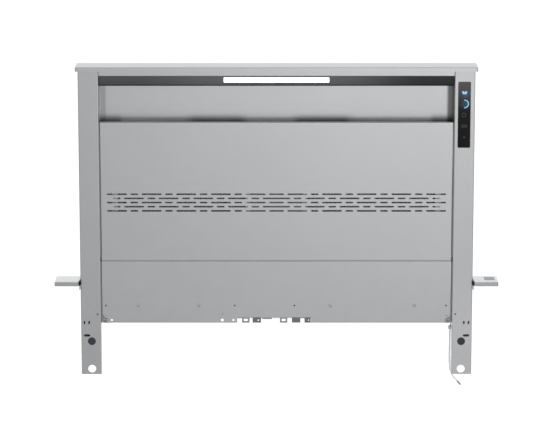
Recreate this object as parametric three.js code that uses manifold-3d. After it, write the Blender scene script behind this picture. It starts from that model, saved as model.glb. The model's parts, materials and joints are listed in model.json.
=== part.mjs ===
// A downdraft vent, shown with its riser fully up. Millimetres, +Z up, the cook in front at -Y.
// z = 0 is the countertop surface, and x = y = 0 is the middle of the slot that the riser comes up through.
//
// A fixed frame sits in the countertop: two end trims on base plates, joined behind the riser by a rail,
// with plastic guides that bear on the posts. The riser is a shallow sheet-steel duct between two posts:
// air goes in at the window under the cap and at the slots, through two grease filters, and out below.
import * as THREE from "three";
import { mergeVertices } from "three/addons/utils/BufferGeometryUtils.js";
import Module from "manifold-3d";

const wasm = await Module();
wasm.setup();

// ---------------------------------------------------------------- driving sizes
const OVERALL_WIDTH = 914; // over the two end trims, a nominal 36 inch vent
const RISE = 457; // countertop to the top of the cap, 18 inches
const TRIM_LENGTH = 53; // end of a trim to the outer face of its post
const RISER_DEPTH = 40;
const POST_WIDTH = 42;
const LEG_DROP = 189; // countertop down to the feet of the posts
const DUCT_DROP = 79.5; // countertop down to the open end of the duct

const SHEET = 1.2; // posts, cap and end trims
const THIN_SHEET = 1.0; // panels, channels and rails of the riser
const BEND_RADIUS = 1.0; // inside every fold
const FOLD_STEPS = 2; // facets round a fold
const SEAT_GAP = 0.3; // between pieces that touch
const SLIDE_GAP = 0.6; // between a guide and the post that runs on it

const CAP_HEIGHT = 9.5;
const CAP_SIDE_OVERHANG = 5;
const CAP_FACE_OVERHANG = 7;
const CAP_CORNER_RADIUS = 3;
const HEADER_HEIGHT = 10.4; // what shows of the header under the cap
const HEADER_HEM = 2.8;
const HEM_RADIUS = 0.6;
const WINDOW_HEIGHT = 95; // intake window, header to front panel
const WALL_DEPTH = 35; // front of the riser back to the wall behind the window

const PANEL_HEIGHT = 290.5; // hinged front panel
const PANEL_GAP = 2; // between the two front panels and the posts
const SEAM_GAP = 1.2; // between the hinged panel and the panel below it
const PANEL_FLANGE = 9; // depth of the folded edges of both front panels
const HINGE_INSET = 4; // hinge line from the front and from the lower edge of the panel
const PIN_RADIUS = 1.5;
const PIN_HEAD_RADIUS = 2.4;
const PIN_HEAD = 1.6;
const PIN_CHAMFER = 0.5;
const PIN_REACH = 5.5; // how far a pin stands out of its post

const SLOT_HEIGHT = 3.2; // slots of the front panel, five rows of long and short ones
const SLOT_LONG = 41;
const SLOT_SHORT = 16;
const SLOT_GAP = 7;
const SLOT_PAIRS = 4; // long and short pairs in each half of a row
const SLOT_ROWS = 5;
const SLOT_ROW_PITCH = 8.73;
const SLOT_ROW_SHIFT = 12; // even rows start this much further in
const SLOT_MARGIN = 12.8; // edge of the panel to the first slot
const SLOT_CENTRE_Z = 175; // middle row above the countertop

const LIGHT_DROP = 23.4; // slanting face under the header, height and depth
const LIGHT_SET_BACK = 14.9;
const LIGHT_FLOOR = 7.5;
const LAMP_LENGTH = 214;
const LAMP_WIDTH = 15.2;
const LAMP_DEPTH = 7;
const LAMP_RADIUS = 0.7;
const LAMP_PROUD = 0.8;
const LAMP_WALL = 1.6;
const LED_BOARD_THICKNESS = 1.2;
const LED_COUNT = 9;
const LED_WIDTH = 3;
const LED_HEIGHT = 1.2;
const LED_END_MARGIN = 10; // end of the lens to the first stretch of the row

const LEG_HOLE_RADIUS = 8.25; // see-through hole at each foot
const LEG_HOLE_HEIGHT = 11.5; // its centre above the foot
const PLUG_RADIUS = 7.4;
const PLUG_HEAD_RADIUS = 8.2;
const PLUG_HEAD = 1.4;
const PLUG_HEAD_CHAMFER = 1.2;
const PLUG_SHANK = 4; // past the sheet
const PLUG_SHANK_CHAMFER = 0.8;
const PLUG_HEIGHT = 70.5; // centre of the plugged hole above the foot
const HOLES_FROM_INSIDE = 20; // both of those from the inner face of the post
const LEG_SLOT_WIDTH = 13.5; // lying slot in the foot
const LEG_SLOT_HEIGHT = 5;
const LEG_SLOT_FROM_INSIDE = 30;
const LEG_SLOT_FROM_FOOT = 82.8;
const LEG_PAIR_WIDTH = 3.4; // two upright slots above it
const LEG_PAIR_HEIGHT = 7.2;
const LEG_PAIR_PITCH = 9.5;
const LEG_PAIR_FROM_FOOT = 110.3;
const LEG_DOT_RADIUS = 1.8; // small round hole above those
const LEG_DOT_FROM_INSIDE = 7.3;
const LEG_DOT_FROM_FOOT = 128.2;
const LEG_FLANGE = 25; // depth of the inner face of a post below the duct
const LEG_CHAMFER = 18;
const GUIDE_SLOT = 12; // slot down the back of each post
const GUIDE_MOUTH_WIDTH = 26; // its wider open end, behind the round hole of the foot
const GUIDE_MOUTH_HEIGHT = 24;

const TRIM_HEIGHT = 9.3;
const TRIM_DEPTH = 54;
const TRIM_INNER_RADIUS = 1.2;
const TRIM_INSIDE_GAP = 1.2; // inner end of a trim to its post
const BASE_PLATE = 1.5;
const BASE_HOLE_RADIUS = 2.2; // screw holes into the countertop
const BASE_HOLE_INSET = 8;
const BASE_HOLE_PITCH = 24;
const TONGUE_DROP = 8; // base plate's hook over the edge of the countertop
const GUIDE_WIDTH = 2.8;
const GUIDE_LENGTH = 11.6;
const GUIDE_LIP = 1.8; // how far the front guide wraps round the front of the post
const GUIDE_SET_BACK = 0.2; // front of the guide behind the front of the trim
const GUIDE_RIM = 0.3; // top of the guide above the trim
const RAIL_DROP = 45; // rail behind the riser, below the countertop
const RAIL_GAP = 1; // back of the riser to the rail
const RAIL_SHEET = 1.5;
const RAIL_DEPTH = 4.4;
const RAIL_END_GAP = 4; // end of the rail to the end wall of the trim
const RAIL_SCREW_OUT = 30; // its screw from the outer face of the post
const RAIL_WEB_SHORT = 6; // the raised web stops this much short of the screw
const GUIDE_STUD_RADIUS = 1.8;
const GUIDE_STUD_END = 1.4; // stands out of the rail by this
const REAR_GUIDE_HEAD = 5;
const REAR_GUIDE_WIDTH = 24;
const REAR_GUIDE_HEIGHT = 40;
const SCREW_RADIUS = 1.8;
const SCREW_HEAD_RADIUS = 3.4;
const SCREW_CROWN = 0.7; // flat top of the head, as a part of its radius
const SCREW_RIM = 0.4; // upright edge of the head, as a part of its height
const SCREW_HEAD = 1.2;
const SMALL_SCREW_RADIUS = 1.1; // holds the rail down in a trim
const SMALL_SCREW_HEAD_RADIUS = 2;

const BUTTON_WIDTH = 20.4;
const BUTTON_DEPTH = 25;
const BUTTON_FROM_END = 17; // middle of the button to the outer end of the trim
const BUTTON_BACK = 3; // and behind the middle of the trim
const BUTTON_FLANGE = 1.6;
const BUTTON_RADIUS = 1.2;
const BUTTON_PROUD = 0.4;
const BUTTON_TRAVEL = 1;
const BUTTON_FRAME_WALL = 2.6;
const SWITCH_SIZE = 6.2;
const SWITCH_BOARD = 0.8;
const SPRING_WIRE_RADIUS = 0.35;
const SPRING_RADIUS = 5.6;
const SPRING_TURNS = 2.5;
const PLUNGER_RADIUS = 1.7;
const PLUNGER_RISE = 0.7;

const GLASS_WIDTH = 25.2; // touch control in the right post
const GLASS_HEIGHT = 136;
const GLASS_THICKNESS = 2.2;
const GLASS_PROUD = 0.7;
const GLASS_RADIUS = 2;
const GLASS_BELOW_CAP = 22; // top edge of the glass below the cap
const CONTROL_BOX_RIM = 3.6;
const CONTROL_BOX_DEPTH = 9;
const CONTROL_BOX_WALL = 1.5;
const CONTROL_KEYS = 5;
const CONTROL_KEY_PITCH = 23;
const CONTROL_KEY_RADIUS = 8; // light hole behind each key
const CONTROL_CHIP = 12;
const CONTROL_CHIP_HEIGHT = 1.4;
const LEAD_WAY_WIDTH = 6;
const BOARD_THICKNESS = 1.6;

const FILTER_CORNER_RADIUS = 3;
const FILTER_DEPTH = 9;
const FILTER_BORDER = 12;
const FILTER_SET_BACK = 12; // front of the riser to the front of the filters
const FILTER_RAIL_GRIP = 8; // how far the rails reach over the filters
const FILTER_RAIL_INSET = 4; // rails in from the edges of the panel opening
const PULL_WIDTH = 8; // finger pull on the inner border of each filter
const PULL_FOOT = 9;
const PULL_REACH = 6;
const PULL_LIP = 15;
const PULL_Z = 104; // its foot above the countertop
const MESH_DEPTH = 4.4;
const MESH_SHEET = 0.8;
const MESH_WAVES = 26;
const MULLION_WIDTH = 104;
const MAGNET_WIDTH = 24;
const MAGNET_POLE_WIDTH = 18;
const MAGNET_FROM_POST = 40;
const MAGNET_POLE_PROUD = 1;
const SIDE_CHANNEL_WIDTH = 24;

const REAR_BEADS = 3; // stiffening beads across the rear panel
const BEAD_MARGIN = 60;
const BEAD_WIDTH = 16;
const BEAD_CREST = 9;
const BEAD_HEIGHT = 2;
const NOTCH_WIDTH = 152; // middle of the duct's lower edge
const NOTCH_HEIGHT = 12;
const NOTCH_OFFSET = -5; // middle of the notch from the middle of the vent
const BRACKET_TABS = [
  { edge: -1, inset: 9.5, width: 16, slot: [9, 5] }, // tabs in the notch, from its nearer edge
  { edge: 1, inset: 48.4, width: 15.8, slot: [9, 5] },
];
const BRACKET_STRIP = { edge: -1, inset: 51.2, width: 20.6, height: 4.5 };
const CLIPS = [
  { edge: -1, inset: 31.5, width: 17.7, hole: { x: 12, radius: 2 } },
  { edge: 1, inset: 21.5, width: 17.7 },
  { edge: 1, inset: 0.4, width: 12.8, hole: { x: 8.7, radius: 1.7 } },
];
const CLIP_HOLE_HEIGHT = 5.2; // above the duct's lower edge
const CLIP_BEND = 0.8;
const CLIP_BARB = 6; // how far a clip reaches up behind the bracket
const BRACKET_WINDOWS = 3; // openings for the air in the bracket's shelf
const BRACKET_WINDOW_WIDTH = 36;
const BRACKET_WINDOW_INSET = 4; // from the plate, and from the edge at the wall
const SHOE_WIDTH = 12;
const SHOE_HEIGHT = 8;
const SHOE_SLOPE = 3; // its top edge rises by this towards the post
const SHOE_DEPTH = 12;
const SHOE_EAR_HEIGHT = 5; // behind the shoe itself
const SHOE_EAR_REACH = 6; // behind the tapered corner
const SHOE_EAR_SET_BACK = 3;
const SHOE_HOLE_RADIUS = 1.6;
const SHOE_HOLE_DEPTH = 4;
const CORNER_TAPER = 4; // lower corners of the duct's front draw in by this
const CORNER_TAPER_HEIGHT = 24;
const ROW_HOLE_RADIUS = 1.7; // open holes in the row of screws
const EDGE_HOLE_HEIGHT = 6; // larger holes, above the duct's lower edge
const DOT_RADIUS = 1.2; // and small ones
const BAND_HEIGHT = 37; // row of screws above the duct's lower edge
const STIFFENER_HEIGHT = 16;
const STIFFENER_DEPTH = 8;
const CLIP_SHEET = 0.8;
const CLIP_DEPTH = 5; // spring clips, front to back

const LEAD_RADIUS = 1.5;
const LEAD_SIDES = 8;
const CLIP_WALL = 1.1; // clip that holds the lead on the foot
const LEAD_CLIP_HEIGHT = 6;
const LEAD_CLIP_GAP = 0.9;
const LEAD_CLIP_GRIP = 5;
const CONNECTOR_LENGTH = 9;
const CONNECTOR_WIDTH = 5;
const CONNECTOR_HEIGHT = 3;
const CONNECTOR_NECK = 2;
const CONNECTOR_WAYS = 3;
const CONNECTOR_PITCH = 1.5;
const CONNECTOR_SOCKET = [0.9, 1.2, 4]; // width, height and depth of each way
const CONNECTOR_NECK_SIZE = [3.4, 2.4];
const LATCH_START = 2.5; // rib on the connector
const LATCH_LENGTH = 4;
const LATCH_WIDTH = 1.6;
const LATCH_HEIGHT = 0.5;

// ---------------------------------------------------------------- levels and planes
const FRONT = -RISER_DEPTH / 2;
const BACK = RISER_DEPTH / 2;
const POST_OUT = OVERALL_WIDTH / 2 - TRIM_LENGTH;
const POST_IN = POST_OUT - POST_WIDTH;
const FOOT_Z = -LEG_DROP;
const DUCT_Z = -DUCT_DROP;
const CAP_Z = RISE - CAP_HEIGHT;
const UNDER_CAP_Z = RISE - SHEET - SEAT_GAP;
const HEADER_Z = CAP_Z - HEADER_HEIGHT;
const PANEL_TOP_Z = HEADER_Z - WINDOW_HEIGHT;
const PANEL_Z = PANEL_TOP_Z - PANEL_HEIGHT;
const LOWER_TOP_Z = PANEL_Z - SEAM_GAP;
const PANEL_HALF = POST_IN - PANEL_GAP;
const WALL_Y = FRONT + WALL_DEPTH;
const HINGE_Y = FRONT + HINGE_INSET;
const HINGE_Z = PANEL_Z + HINGE_INSET;
const TRIM_OUT = OVERALL_WIDTH / 2;
const TRIM_IN = POST_OUT + TRIM_INSIDE_GAP;
const RAIL_Y = BACK + RAIL_GAP;
const RAIL_TOP_Z = TRIM_HEIGHT - SHEET - SEAT_GAP;
const GUIDE_X = POST_IN + POST_WIDTH / 2;
const SCREW_Z = DUCT_Z + BAND_HEIGHT;
const FILTER_Y = FRONT + FILTER_SET_BACK;
const FILTER_LOW_Z = PANEL_Z + FILTER_RAIL_INSET + THIN_SHEET + SEAT_GAP;
const FILTER_HIGH_Z = PANEL_TOP_Z - FILTER_RAIL_INSET - THIN_SHEET - SEAT_GAP;
const CONTROL_X = POST_IN + HOLES_FROM_INSIDE;
const GLASS_TOP_Z = CAP_Z - GLASS_BELOW_CAP;
const GLASS_Z = GLASS_TOP_Z - GLASS_HEIGHT;
const GLASS_MID_Z = GLASS_TOP_Z - GLASS_HEIGHT / 2;

// ---------------------------------------------------------------- finishes
const finish = (color, roughness, metalness) => () =>
  new THREE.MeshStandardMaterial({ color, roughness, metalness });
const stainless = finish(0xb4b5b7, 0.38, 1);
const capSteel = finish(0xc4c5c6, 0.34, 1);
const zincSteel = finish(0x9fa2a4, 0.5, 1);
const springSteel = finish(0x3a3b3d, 0.45, 1);
const aluminium = finish(0x9c9ea1, 0.42, 1);
const blackPlastic = finish(0x17171a, 0.55, 0);
const greyPlastic = finish(0x8f9093, 0.5, 0.2);
const controlGlass = finish(0x0f1013, 0.08, 0);
const opalPlastic = finish(0xffffff, 0.5, 0);
const boardGreen = finish(0x1e4a2c, 0.6, 0);
const greyCable = finish(0xb9babb, 0.6, 0);

// ---------------------------------------------------------------- solids
const v2 = (x, y) => new THREE.Vector2(x, y);

// A closed geometry as a solid that can be joined and cut.
function solid(geometry) {
  const bare = geometry.index ? geometry.toNonIndexed() : geometry.clone();
  for (const name of Object.keys(bare.attributes)) {
    if (name !== "position") bare.deleteAttribute(name);
  }
  const merged = mergeVertices(bare, 1e-4);
  return new wasm.Manifold(
    new wasm.Mesh({
      numProp: 3,
      vertProperties: merged.attributes.position.array,
      triVerts: new Uint32Array(merged.index.array),
    }),
  );
}

function geometryOf(made) {
  const mesh = made.getMesh();
  const geometry = new THREE.BufferGeometry();
  geometry.setAttribute("position", new THREE.BufferAttribute(mesh.vertProperties, mesh.numProp));
  geometry.setIndex(new THREE.BufferAttribute(mesh.triVerts, 1));
  const flat = geometry.toNonIndexed();
  flat.computeVertexNormals();
  return flat;
}

const join = (first, ...rest) => rest.reduce((sum, piece) => sum.add(piece), first);
const cut = (first, ...rest) => rest.reduce((left, piece) => left.subtract(piece), first);

function mesh(name, made, material) {
  const shown = new THREE.Mesh(made.isBufferGeometry ? made : geometryOf(made), material());
  shown.name = name;
  return shown;
}

// A box between two corners.
function block([x0, x1], [y0, y1], [z0, z1]) {
  const geometry = new THREE.BoxGeometry(x1 - x0, y1 - y0, z1 - z0);
  geometry.translate((x0 + x1) / 2, (y0 + y1) / 2, (z0 + z1) / 2);
  return solid(geometry);
}

// The same span on the left (side -1) or the right (side 1), from distances off the middle.
const span = (side, near, far) => (side < 0 ? [-far, -near] : [near, far]);

// Turns a shape drawn in the plane across an axis into place: (y, z) for x, (x, z) for y, (x, y) for z.
const AXES = {
  x: [v3(0, 1, 0), v3(0, 0, 1), v3(1, 0, 0)],
  y: [v3(1, 0, 0), v3(0, 0, 1), v3(0, -1, 0)],
  z: [v3(1, 0, 0), v3(0, 1, 0), v3(0, 0, 1)],
};
function v3(x, y, z) {
  return new THREE.Vector3(x, y, z);
}

function prism(shape, axis, from, to) {
  const geometry = new THREE.ExtrudeGeometry(shape, {
    depth: to - from,
    bevelEnabled: false,
    curveSegments: 3,
  });
  geometry.translate(0, 0, axis === "y" ? -to : from);
  return solid(geometry.applyMatrix4(new THREE.Matrix4().makeBasis(...AXES[axis])));
}

function rectangle([x0, x1], [y0, y1]) {
  return new THREE.Shape([v2(x0, y0), v2(x1, y0), v2(x1, y1), v2(x0, y1)]);
}

function roundedRectangle([x0, x1], [y0, y1], r) {
  const shape = new THREE.Shape();
  shape.absarc(x1 - r, y0 + r, r, -Math.PI / 2, 0);
  shape.absarc(x1 - r, y1 - r, r, 0, Math.PI / 2);
  shape.absarc(x0 + r, y1 - r, r, Math.PI / 2, Math.PI);
  shape.absarc(x0 + r, y0 + r, r, Math.PI, Math.PI * 1.5);
  return shape;
}

// A regular outline of a circle; the facets lie outside the true circle for a hole's clearance.
function circle(x, y, radius, facets = 16) {
  const points = [];
  for (let k = 0; k < facets; k++) {
    const angle = ((k + 0.5) / facets) * Math.PI * 2;
    points.push(v2(x + radius * Math.cos(angle), y + radius * Math.sin(angle)));
  }
  return new THREE.Shape(points);
}

// A slot with round ends, three facets to each end, along whichever of its two sizes is longer.
function slotOutline(x, z, width, height) {
  const radius = Math.min(width, height) / 2;
  const reach = Math.max(width, height) / 2 - radius;
  const points = [];
  for (const end of [1, -1]) {
    for (let k = 0; k <= 3; k++) {
      const angle = -Math.PI / 2 + (k / 3) * Math.PI;
      const along = end * (reach + radius * Math.cos(angle));
      const across = end * radius * Math.sin(angle);
      points.push(width >= height ? v2(x + along, z + across) : v2(x - across, z + along));
    }
  }
  return new THREE.Shape(points);
}

// The points of a rounded corner between two directions.
function roundedCorner(before, corner, after, radius) {
  const turn = Math.sign(before.cross(after));
  const angle = Math.acos(THREE.MathUtils.clamp(before.dot(after), -1, 1));
  const start = corner.clone().addScaledVector(before, -radius * Math.tan(angle / 2));
  const centre = start.clone().addScaledVector(leftOf(before), turn * radius);
  const points = [];
  for (let k = 0; k <= FOLD_STEPS; k++) {
    points.push(start.clone().rotateAround(centre, (turn * angle * k) / FOLD_STEPS));
  }
  return points;
}

function leftOf(direction) {
  return v2(-direction.y, direction.x);
}

// The section of a folded sheet. The line follows one face, and the sheet lies to its left.
function foldedSheet(line, thickness, radius = BEND_RADIUS) {
  const points = line.map(([x, y]) => v2(x, y));
  const face = [];
  const behind = [];
  points.forEach((point, i) => {
    const next = points[i + 1];
    const before = i > 0 ? point.clone().sub(points[i - 1]).normalize() : next.clone().sub(point).normalize();
    const after = next ? next.clone().sub(point).normalize() : before;
    const normal = leftOf(before);
    const turned = leftOf(after);
    const mitre = normal.clone().add(turned).multiplyScalar(thickness / (1 + normal.dot(turned)));
    const opposite = point.clone().add(mitre);
    const turn = before.cross(after);
    if (Math.abs(turn) < 1e-6) {
      face.push(point);
      behind.push(opposite);
      return;
    }
    face.push(...roundedCorner(before, point, after, turn > 0 ? radius + thickness : radius));
    behind.push(...roundedCorner(before, opposite, after, turn > 0 ? radius : radius + thickness));
  });
  return new THREE.Shape([...face, ...behind.reverse()]);
}

// A rectangle with the two corners on its face rounded; its depth runs from the face to the back.
function facedRectangle([a0, a1], [face, back], radius, place = v2) {
  const inwards = Math.sign(back - face);
  const points = [];
  for (const [centre, quarter] of [
    [a0 + radius, 2],
    [a1 - radius, 3],
  ]) {
    for (let k = 0; k <= FOLD_STEPS; k++) {
      const angle = ((quarter + k / FOLD_STEPS) * Math.PI) / 2;
      const depth = face + inwards * radius * (1 + Math.sin(angle));
      points.push(place(centre + radius * Math.cos(angle), depth));
    }
  }
  points.push(place(a1, back), place(a0, back));
  return new THREE.Shape(points);
}

// A flat pan: a plate with all four edges folded back towards +Y from its face.
function pan(half, z, face, depth, thickness) {
  const filled = (inset, back) => {
    const radius = BEND_RADIUS + thickness - inset;
    const across = [inset - half, half - inset];
    const up = [z[0] + inset, z[1] - inset];
    const y = [face + inset, face + back];
    return prism(facedRectangle(across, y, radius), "z", ...up).intersect(
      prism(facedRectangle(up, y, radius, (a, d) => v2(d, a)), "x", ...across),
    );
  };
  return cut(filled(0, depth), filled(thickness, depth + 1));
}

// A tray turned upside down, its upright corners and its top edges rounded, open below.
function tray(x, y, [low, top], thickness, corner) {
  const filled = (inset, floor) => {
    const radius = BEND_RADIUS + thickness - inset;
    const across = [x[0] + inset, x[1] - inset];
    const along = [y[0] + inset, y[1] - inset];
    const z = [top - inset, floor];
    return prism(roundedRectangle(across, along, corner - inset), "z", floor, top - inset)
      .intersect(prism(facedRectangle(across, z, radius), "y", ...along))
      .intersect(prism(facedRectangle(along, z, radius), "x", ...across));
  };
  return cut(filled(0, low), filled(thickness, low - 1));
}

// A section drawn for the right-hand side, mirrored for the left.
function mirrored(side, line) {
  const placed = line.map(([x, y]) => [side * x, y]);
  return side < 0 ? placed.reverse() : placed;
}

// A round-headed screw along +y, the underside of its head at the origin.
function screw(shankLength, radius = SCREW_RADIUS, headRadius = SCREW_HEAD_RADIUS) {
  const profile = [
    v2(0, -SCREW_HEAD),
    v2(headRadius * SCREW_CROWN, -SCREW_HEAD),
    v2(headRadius, -SCREW_HEAD * SCREW_RIM),
    v2(headRadius, 0),
    v2(radius, 0),
    v2(radius, shankLength - radius / 2),
    v2(radius / 2, shankLength),
    v2(0, shankLength),
  ];
  return new THREE.LatheGeometry(profile, 12);
}

// ---------------------------------------------------------------- riser: posts, cap and header
function post(side) {
  const lip = (POST_WIDTH - GUIDE_SLOT) / 2;
  const section = foldedSheet(
    mirrored(side, [
      [POST_IN + lip, BACK],
      [POST_IN, BACK],
      [POST_IN, FRONT],
      [POST_OUT, FRONT],
      [POST_OUT, BACK],
      [POST_OUT - lip, BACK],
    ]),
    SHEET,
  );
  const column = prism(section, "z", FOOT_Z, UNDER_CAP_Z);
  const through = [FRONT - 1, FRONT + SHEET + 1];
  const holeX = side * (POST_IN + HOLES_FROM_INSIDE);
  // Below the duct only a shallow inner flange is left, cut off slanting at the foot.
  const openInside = block(
    span(side, POST_IN - 1, POST_IN + lip + 1),
    [FRONT + LEG_FLANGE, BACK + 1],
    [FOOT_Z - 1, DUCT_Z],
  );
  const slant = prism(
    new THREE.Shape([
      v2(FRONT + LEG_FLANGE + 1, FOOT_Z + LEG_CHAMFER),
      v2(FRONT + LEG_FLANGE + 1, FOOT_Z - 1),
      v2(FRONT + SHEET + BEND_RADIUS, FOOT_Z - 1),
    ]),
    "x",
    ...span(side, POST_IN - 1, POST_IN + SHEET + 0.5),
  );
  const mouth = block(
    [side * GUIDE_X - GUIDE_MOUTH_WIDTH / 2, side * GUIDE_X + GUIDE_MOUTH_WIDTH / 2],
    [BACK - SHEET - BEND_RADIUS, BACK + 1],
    [FOOT_Z - 1, FOOT_Z + GUIDE_MOUTH_HEIGHT],
  );
  const slotX = side * (POST_IN + LEG_SLOT_FROM_INSIDE);
  const slots = [
    slotOutline(slotX, FOOT_Z + LEG_SLOT_FROM_FOOT, LEG_SLOT_WIDTH, LEG_SLOT_HEIGHT),
    ...[-1, 1].map((k) =>
      slotOutline(
        slotX + (k * LEG_PAIR_PITCH) / 2,
        FOOT_Z + LEG_PAIR_FROM_FOOT,
        LEG_PAIR_WIDTH,
        LEG_PAIR_HEIGHT,
      ),
    ),
    circle(side * (POST_IN + LEG_DOT_FROM_INSIDE), FOOT_Z + LEG_DOT_FROM_FOOT, LEG_DOT_RADIUS, 10),
  ];
  const pin = circle(HINGE_Y, HINGE_Z, PIN_RADIUS + SEAT_GAP, 12);
  let made = cut(
    column,
    openInside,
    slant,
    mouth,
    prism(circle(holeX, FOOT_Z + LEG_HOLE_HEIGHT, LEG_HOLE_RADIUS, 20), "y", ...through),
    prism(circle(holeX, FOOT_Z + PLUG_HEIGHT, PLUG_RADIUS + SEAT_GAP, 20), "y", ...through),
    ...slots.map((shape) => prism(shape, "y", ...through)),
    prism(pin, "x", ...span(side, POST_IN - 1, POST_IN + SHEET + 1)),
  );
  if (side > 0) {
    const half = GLASS_WIDTH / 2 + SEAT_GAP;
    const opening = roundedRectangle(
      [CONTROL_X - half, CONTROL_X + half],
      [GLASS_Z - SEAT_GAP, GLASS_TOP_Z + SEAT_GAP],
      GLASS_RADIUS + SEAT_GAP,
    );
    made = cut(made, prism(opening, "y", ...through));
  }
  return made;
}

function topCap() {
  const half = POST_OUT + CAP_SIDE_OVERHANG;
  const face = BACK + CAP_FACE_OVERHANG;
  return tray([-half, half], [-face, face], [CAP_Z, RISE], SHEET, CAP_CORNER_RADIUS);
}

// The strip under the cap, hemmed at its lower edge.
function headerStrip() {
  const half = POST_IN - SEAT_GAP;
  const section = foldedSheet(
    [
      [FRONT, UNDER_CAP_Z],
      [FRONT, HEADER_Z],
      [FRONT + HEADER_HEM, HEADER_Z],
    ],
    THIN_SHEET,
    HEM_RADIUS,
  );
  return prism(section, "x", -half, half);
}

// ---------------------------------------------------------------- riser: light
const LIGHT_Y = FRONT + 3.4;
const LIGHT_TOP_Z = HEADER_Z + 0.4;
const LIGHT_ANGLE = Math.atan2(LIGHT_SET_BACK, LIGHT_DROP);
const LAMP_ALONG = 0.47; // middle of the lamp down the slanting face
const LAMP_CENTRE = v3(
  0,
  LIGHT_Y + LIGHT_SET_BACK * LAMP_ALONG,
  LIGHT_TOP_Z - LIGHT_DROP * LAMP_ALONG,
);

// Places what is made at the origin, facing -Y, into the slanting face of the light.
function onLightFace(geometry) {
  return geometry.rotateX(LIGHT_ANGLE).translate(LAMP_CENTRE.x, LAMP_CENTRE.y, LAMP_CENTRE.z);
}

function lightHousing() {
  const half = POST_IN - SEAT_GAP;
  const lowZ = LIGHT_TOP_Z - LIGHT_DROP;
  const section = foldedSheet(
    [
      [LIGHT_Y, UNDER_CAP_Z],
      [LIGHT_Y, LIGHT_TOP_Z],
      [LIGHT_Y + LIGHT_SET_BACK, lowZ],
      [LIGHT_Y + LIGHT_SET_BACK + LIGHT_FLOOR, lowZ],
      [LIGHT_Y + LIGHT_SET_BACK + LIGHT_FLOOR, UNDER_CAP_Z],
    ],
    THIN_SHEET,
  );
  const opening = onLightFace(
    new THREE.BoxGeometry(LAMP_LENGTH + 2 * SEAT_GAP, 6, LAMP_WIDTH + 2 * SEAT_GAP),
  );
  return cut(prism(section, "x", -half, half), solid(opening));
}

// A channel-shaped opal lens that stands a little out of the slanting face, round-edged,
// with the board in its back.
function lightDiffuser() {
  const outside = roundedRectangle(
    [-LAMP_PROUD, LAMP_DEPTH - LAMP_PROUD],
    [-LAMP_WIDTH / 2, LAMP_WIDTH / 2],
    LAMP_RADIUS,
  );
  const geometry = new THREE.ExtrudeGeometry(outside, {
    depth: LAMP_LENGTH,
    bevelEnabled: false,
    curveSegments: 1,
  });
  geometry.translate(0, 0, -LAMP_LENGTH / 2);
  geometry.applyMatrix4(new THREE.Matrix4().makeBasis(...AXES.x));
  const hollow = new THREE.BoxGeometry(
    LAMP_LENGTH - 2 * LAMP_WALL,
    LAMP_DEPTH,
    LAMP_WIDTH - 2 * LAMP_WALL,
  );
  hollow.translate(0, LAMP_DEPTH / 2 + LAMP_WALL, 0);
  return cut(solid(onLightFace(geometry)), solid(onLightFace(hollow)));
}

function ledBoard() {
  const clear = LAMP_WALL + SEAT_GAP;
  const board = new THREE.BoxGeometry(
    LAMP_LENGTH - 2 * clear,
    LED_BOARD_THICKNESS,
    LAMP_WIDTH - 2 * clear,
  );
  const seat = LAMP_DEPTH - LAMP_PROUD - LED_BOARD_THICKNESS / 2;
  board.translate(0, seat, 0);
  const made = [solid(onLightFace(board))];
  for (let k = 0; k < LED_COUNT; k++) {
    const chip = new THREE.BoxGeometry(LED_WIDTH, LED_HEIGHT + LED_BOARD_THICKNESS / 2, LED_WIDTH);
    const x = ((k + 0.5) / LED_COUNT - 0.5) * (LAMP_LENGTH - 2 * LED_END_MARGIN);
    chip.translate(x, seat - LED_BOARD_THICKNESS / 4 - LED_HEIGHT / 2, 0);
    made.push(solid(onLightFace(chip)));
  }
  return join(...made);
}

// ---------------------------------------------------------------- riser: duct walls
function rearPanel() {
  const half = POST_IN - SEAT_GAP;
  const depth = BACK - SEAT_GAP - WALL_Y;
  const made = pan(half, [DUCT_Z, UNDER_CAP_Z], WALL_Y, depth, THIN_SHEET);
  const beads = [];
  const beadHalf = half - BEAD_MARGIN;
  for (let k = 1; k <= REAR_BEADS; k++) {
    const z = DUCT_Z + ((UNDER_CAP_Z - DUCT_Z) * k) / (REAR_BEADS + 1);
    const crestY = WALL_Y + THIN_SHEET + BEAD_HEIGHT;
    const bead = new THREE.Shape([
      v2(WALL_Y + THIN_SHEET / 2, z - BEAD_WIDTH / 2),
      v2(crestY, z - BEAD_CREST / 2),
      v2(crestY, z + BEAD_CREST / 2),
      v2(WALL_Y + THIN_SHEET / 2, z + BEAD_WIDTH / 2),
    ]);
    beads.push(prism(bead, "x", -beadHalf, beadHalf));
  }
  return join(made, ...beads);
}

// One row of slots for one half and the middle, as outlines in x and z.
function slotRow(z, startsLong) {
  const pitch = SLOT_LONG + SLOT_SHORT + 2 * SLOT_GAP;
  const edge = PANEL_HALF - SLOT_MARGIN - (startsLong ? 0 : SLOT_ROW_SHIFT);
  const first = startsLong ? SLOT_LONG : SLOT_SHORT;
  const second = startsLong ? SLOT_SHORT : SLOT_LONG;
  const outlines = [];
  let inner = edge;
  for (let k = 0; k <= SLOT_PAIRS; k++) {
    const start = edge - k * pitch;
    const lengths = k < SLOT_PAIRS ? [first, second] : [first];
    let at = start;
    for (const length of lengths) {
      for (const side of [-1, 1]) {
        outlines.push(slotOutline(side * (at - length / 2), z, length, SLOT_HEIGHT));
      }
      at -= length + SLOT_GAP;
    }
    inner = at;
  }
  if (inner > SLOT_GAP) outlines.push(slotOutline(0, z, 2 * inner, SLOT_HEIGHT));
  return outlines;
}

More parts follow.
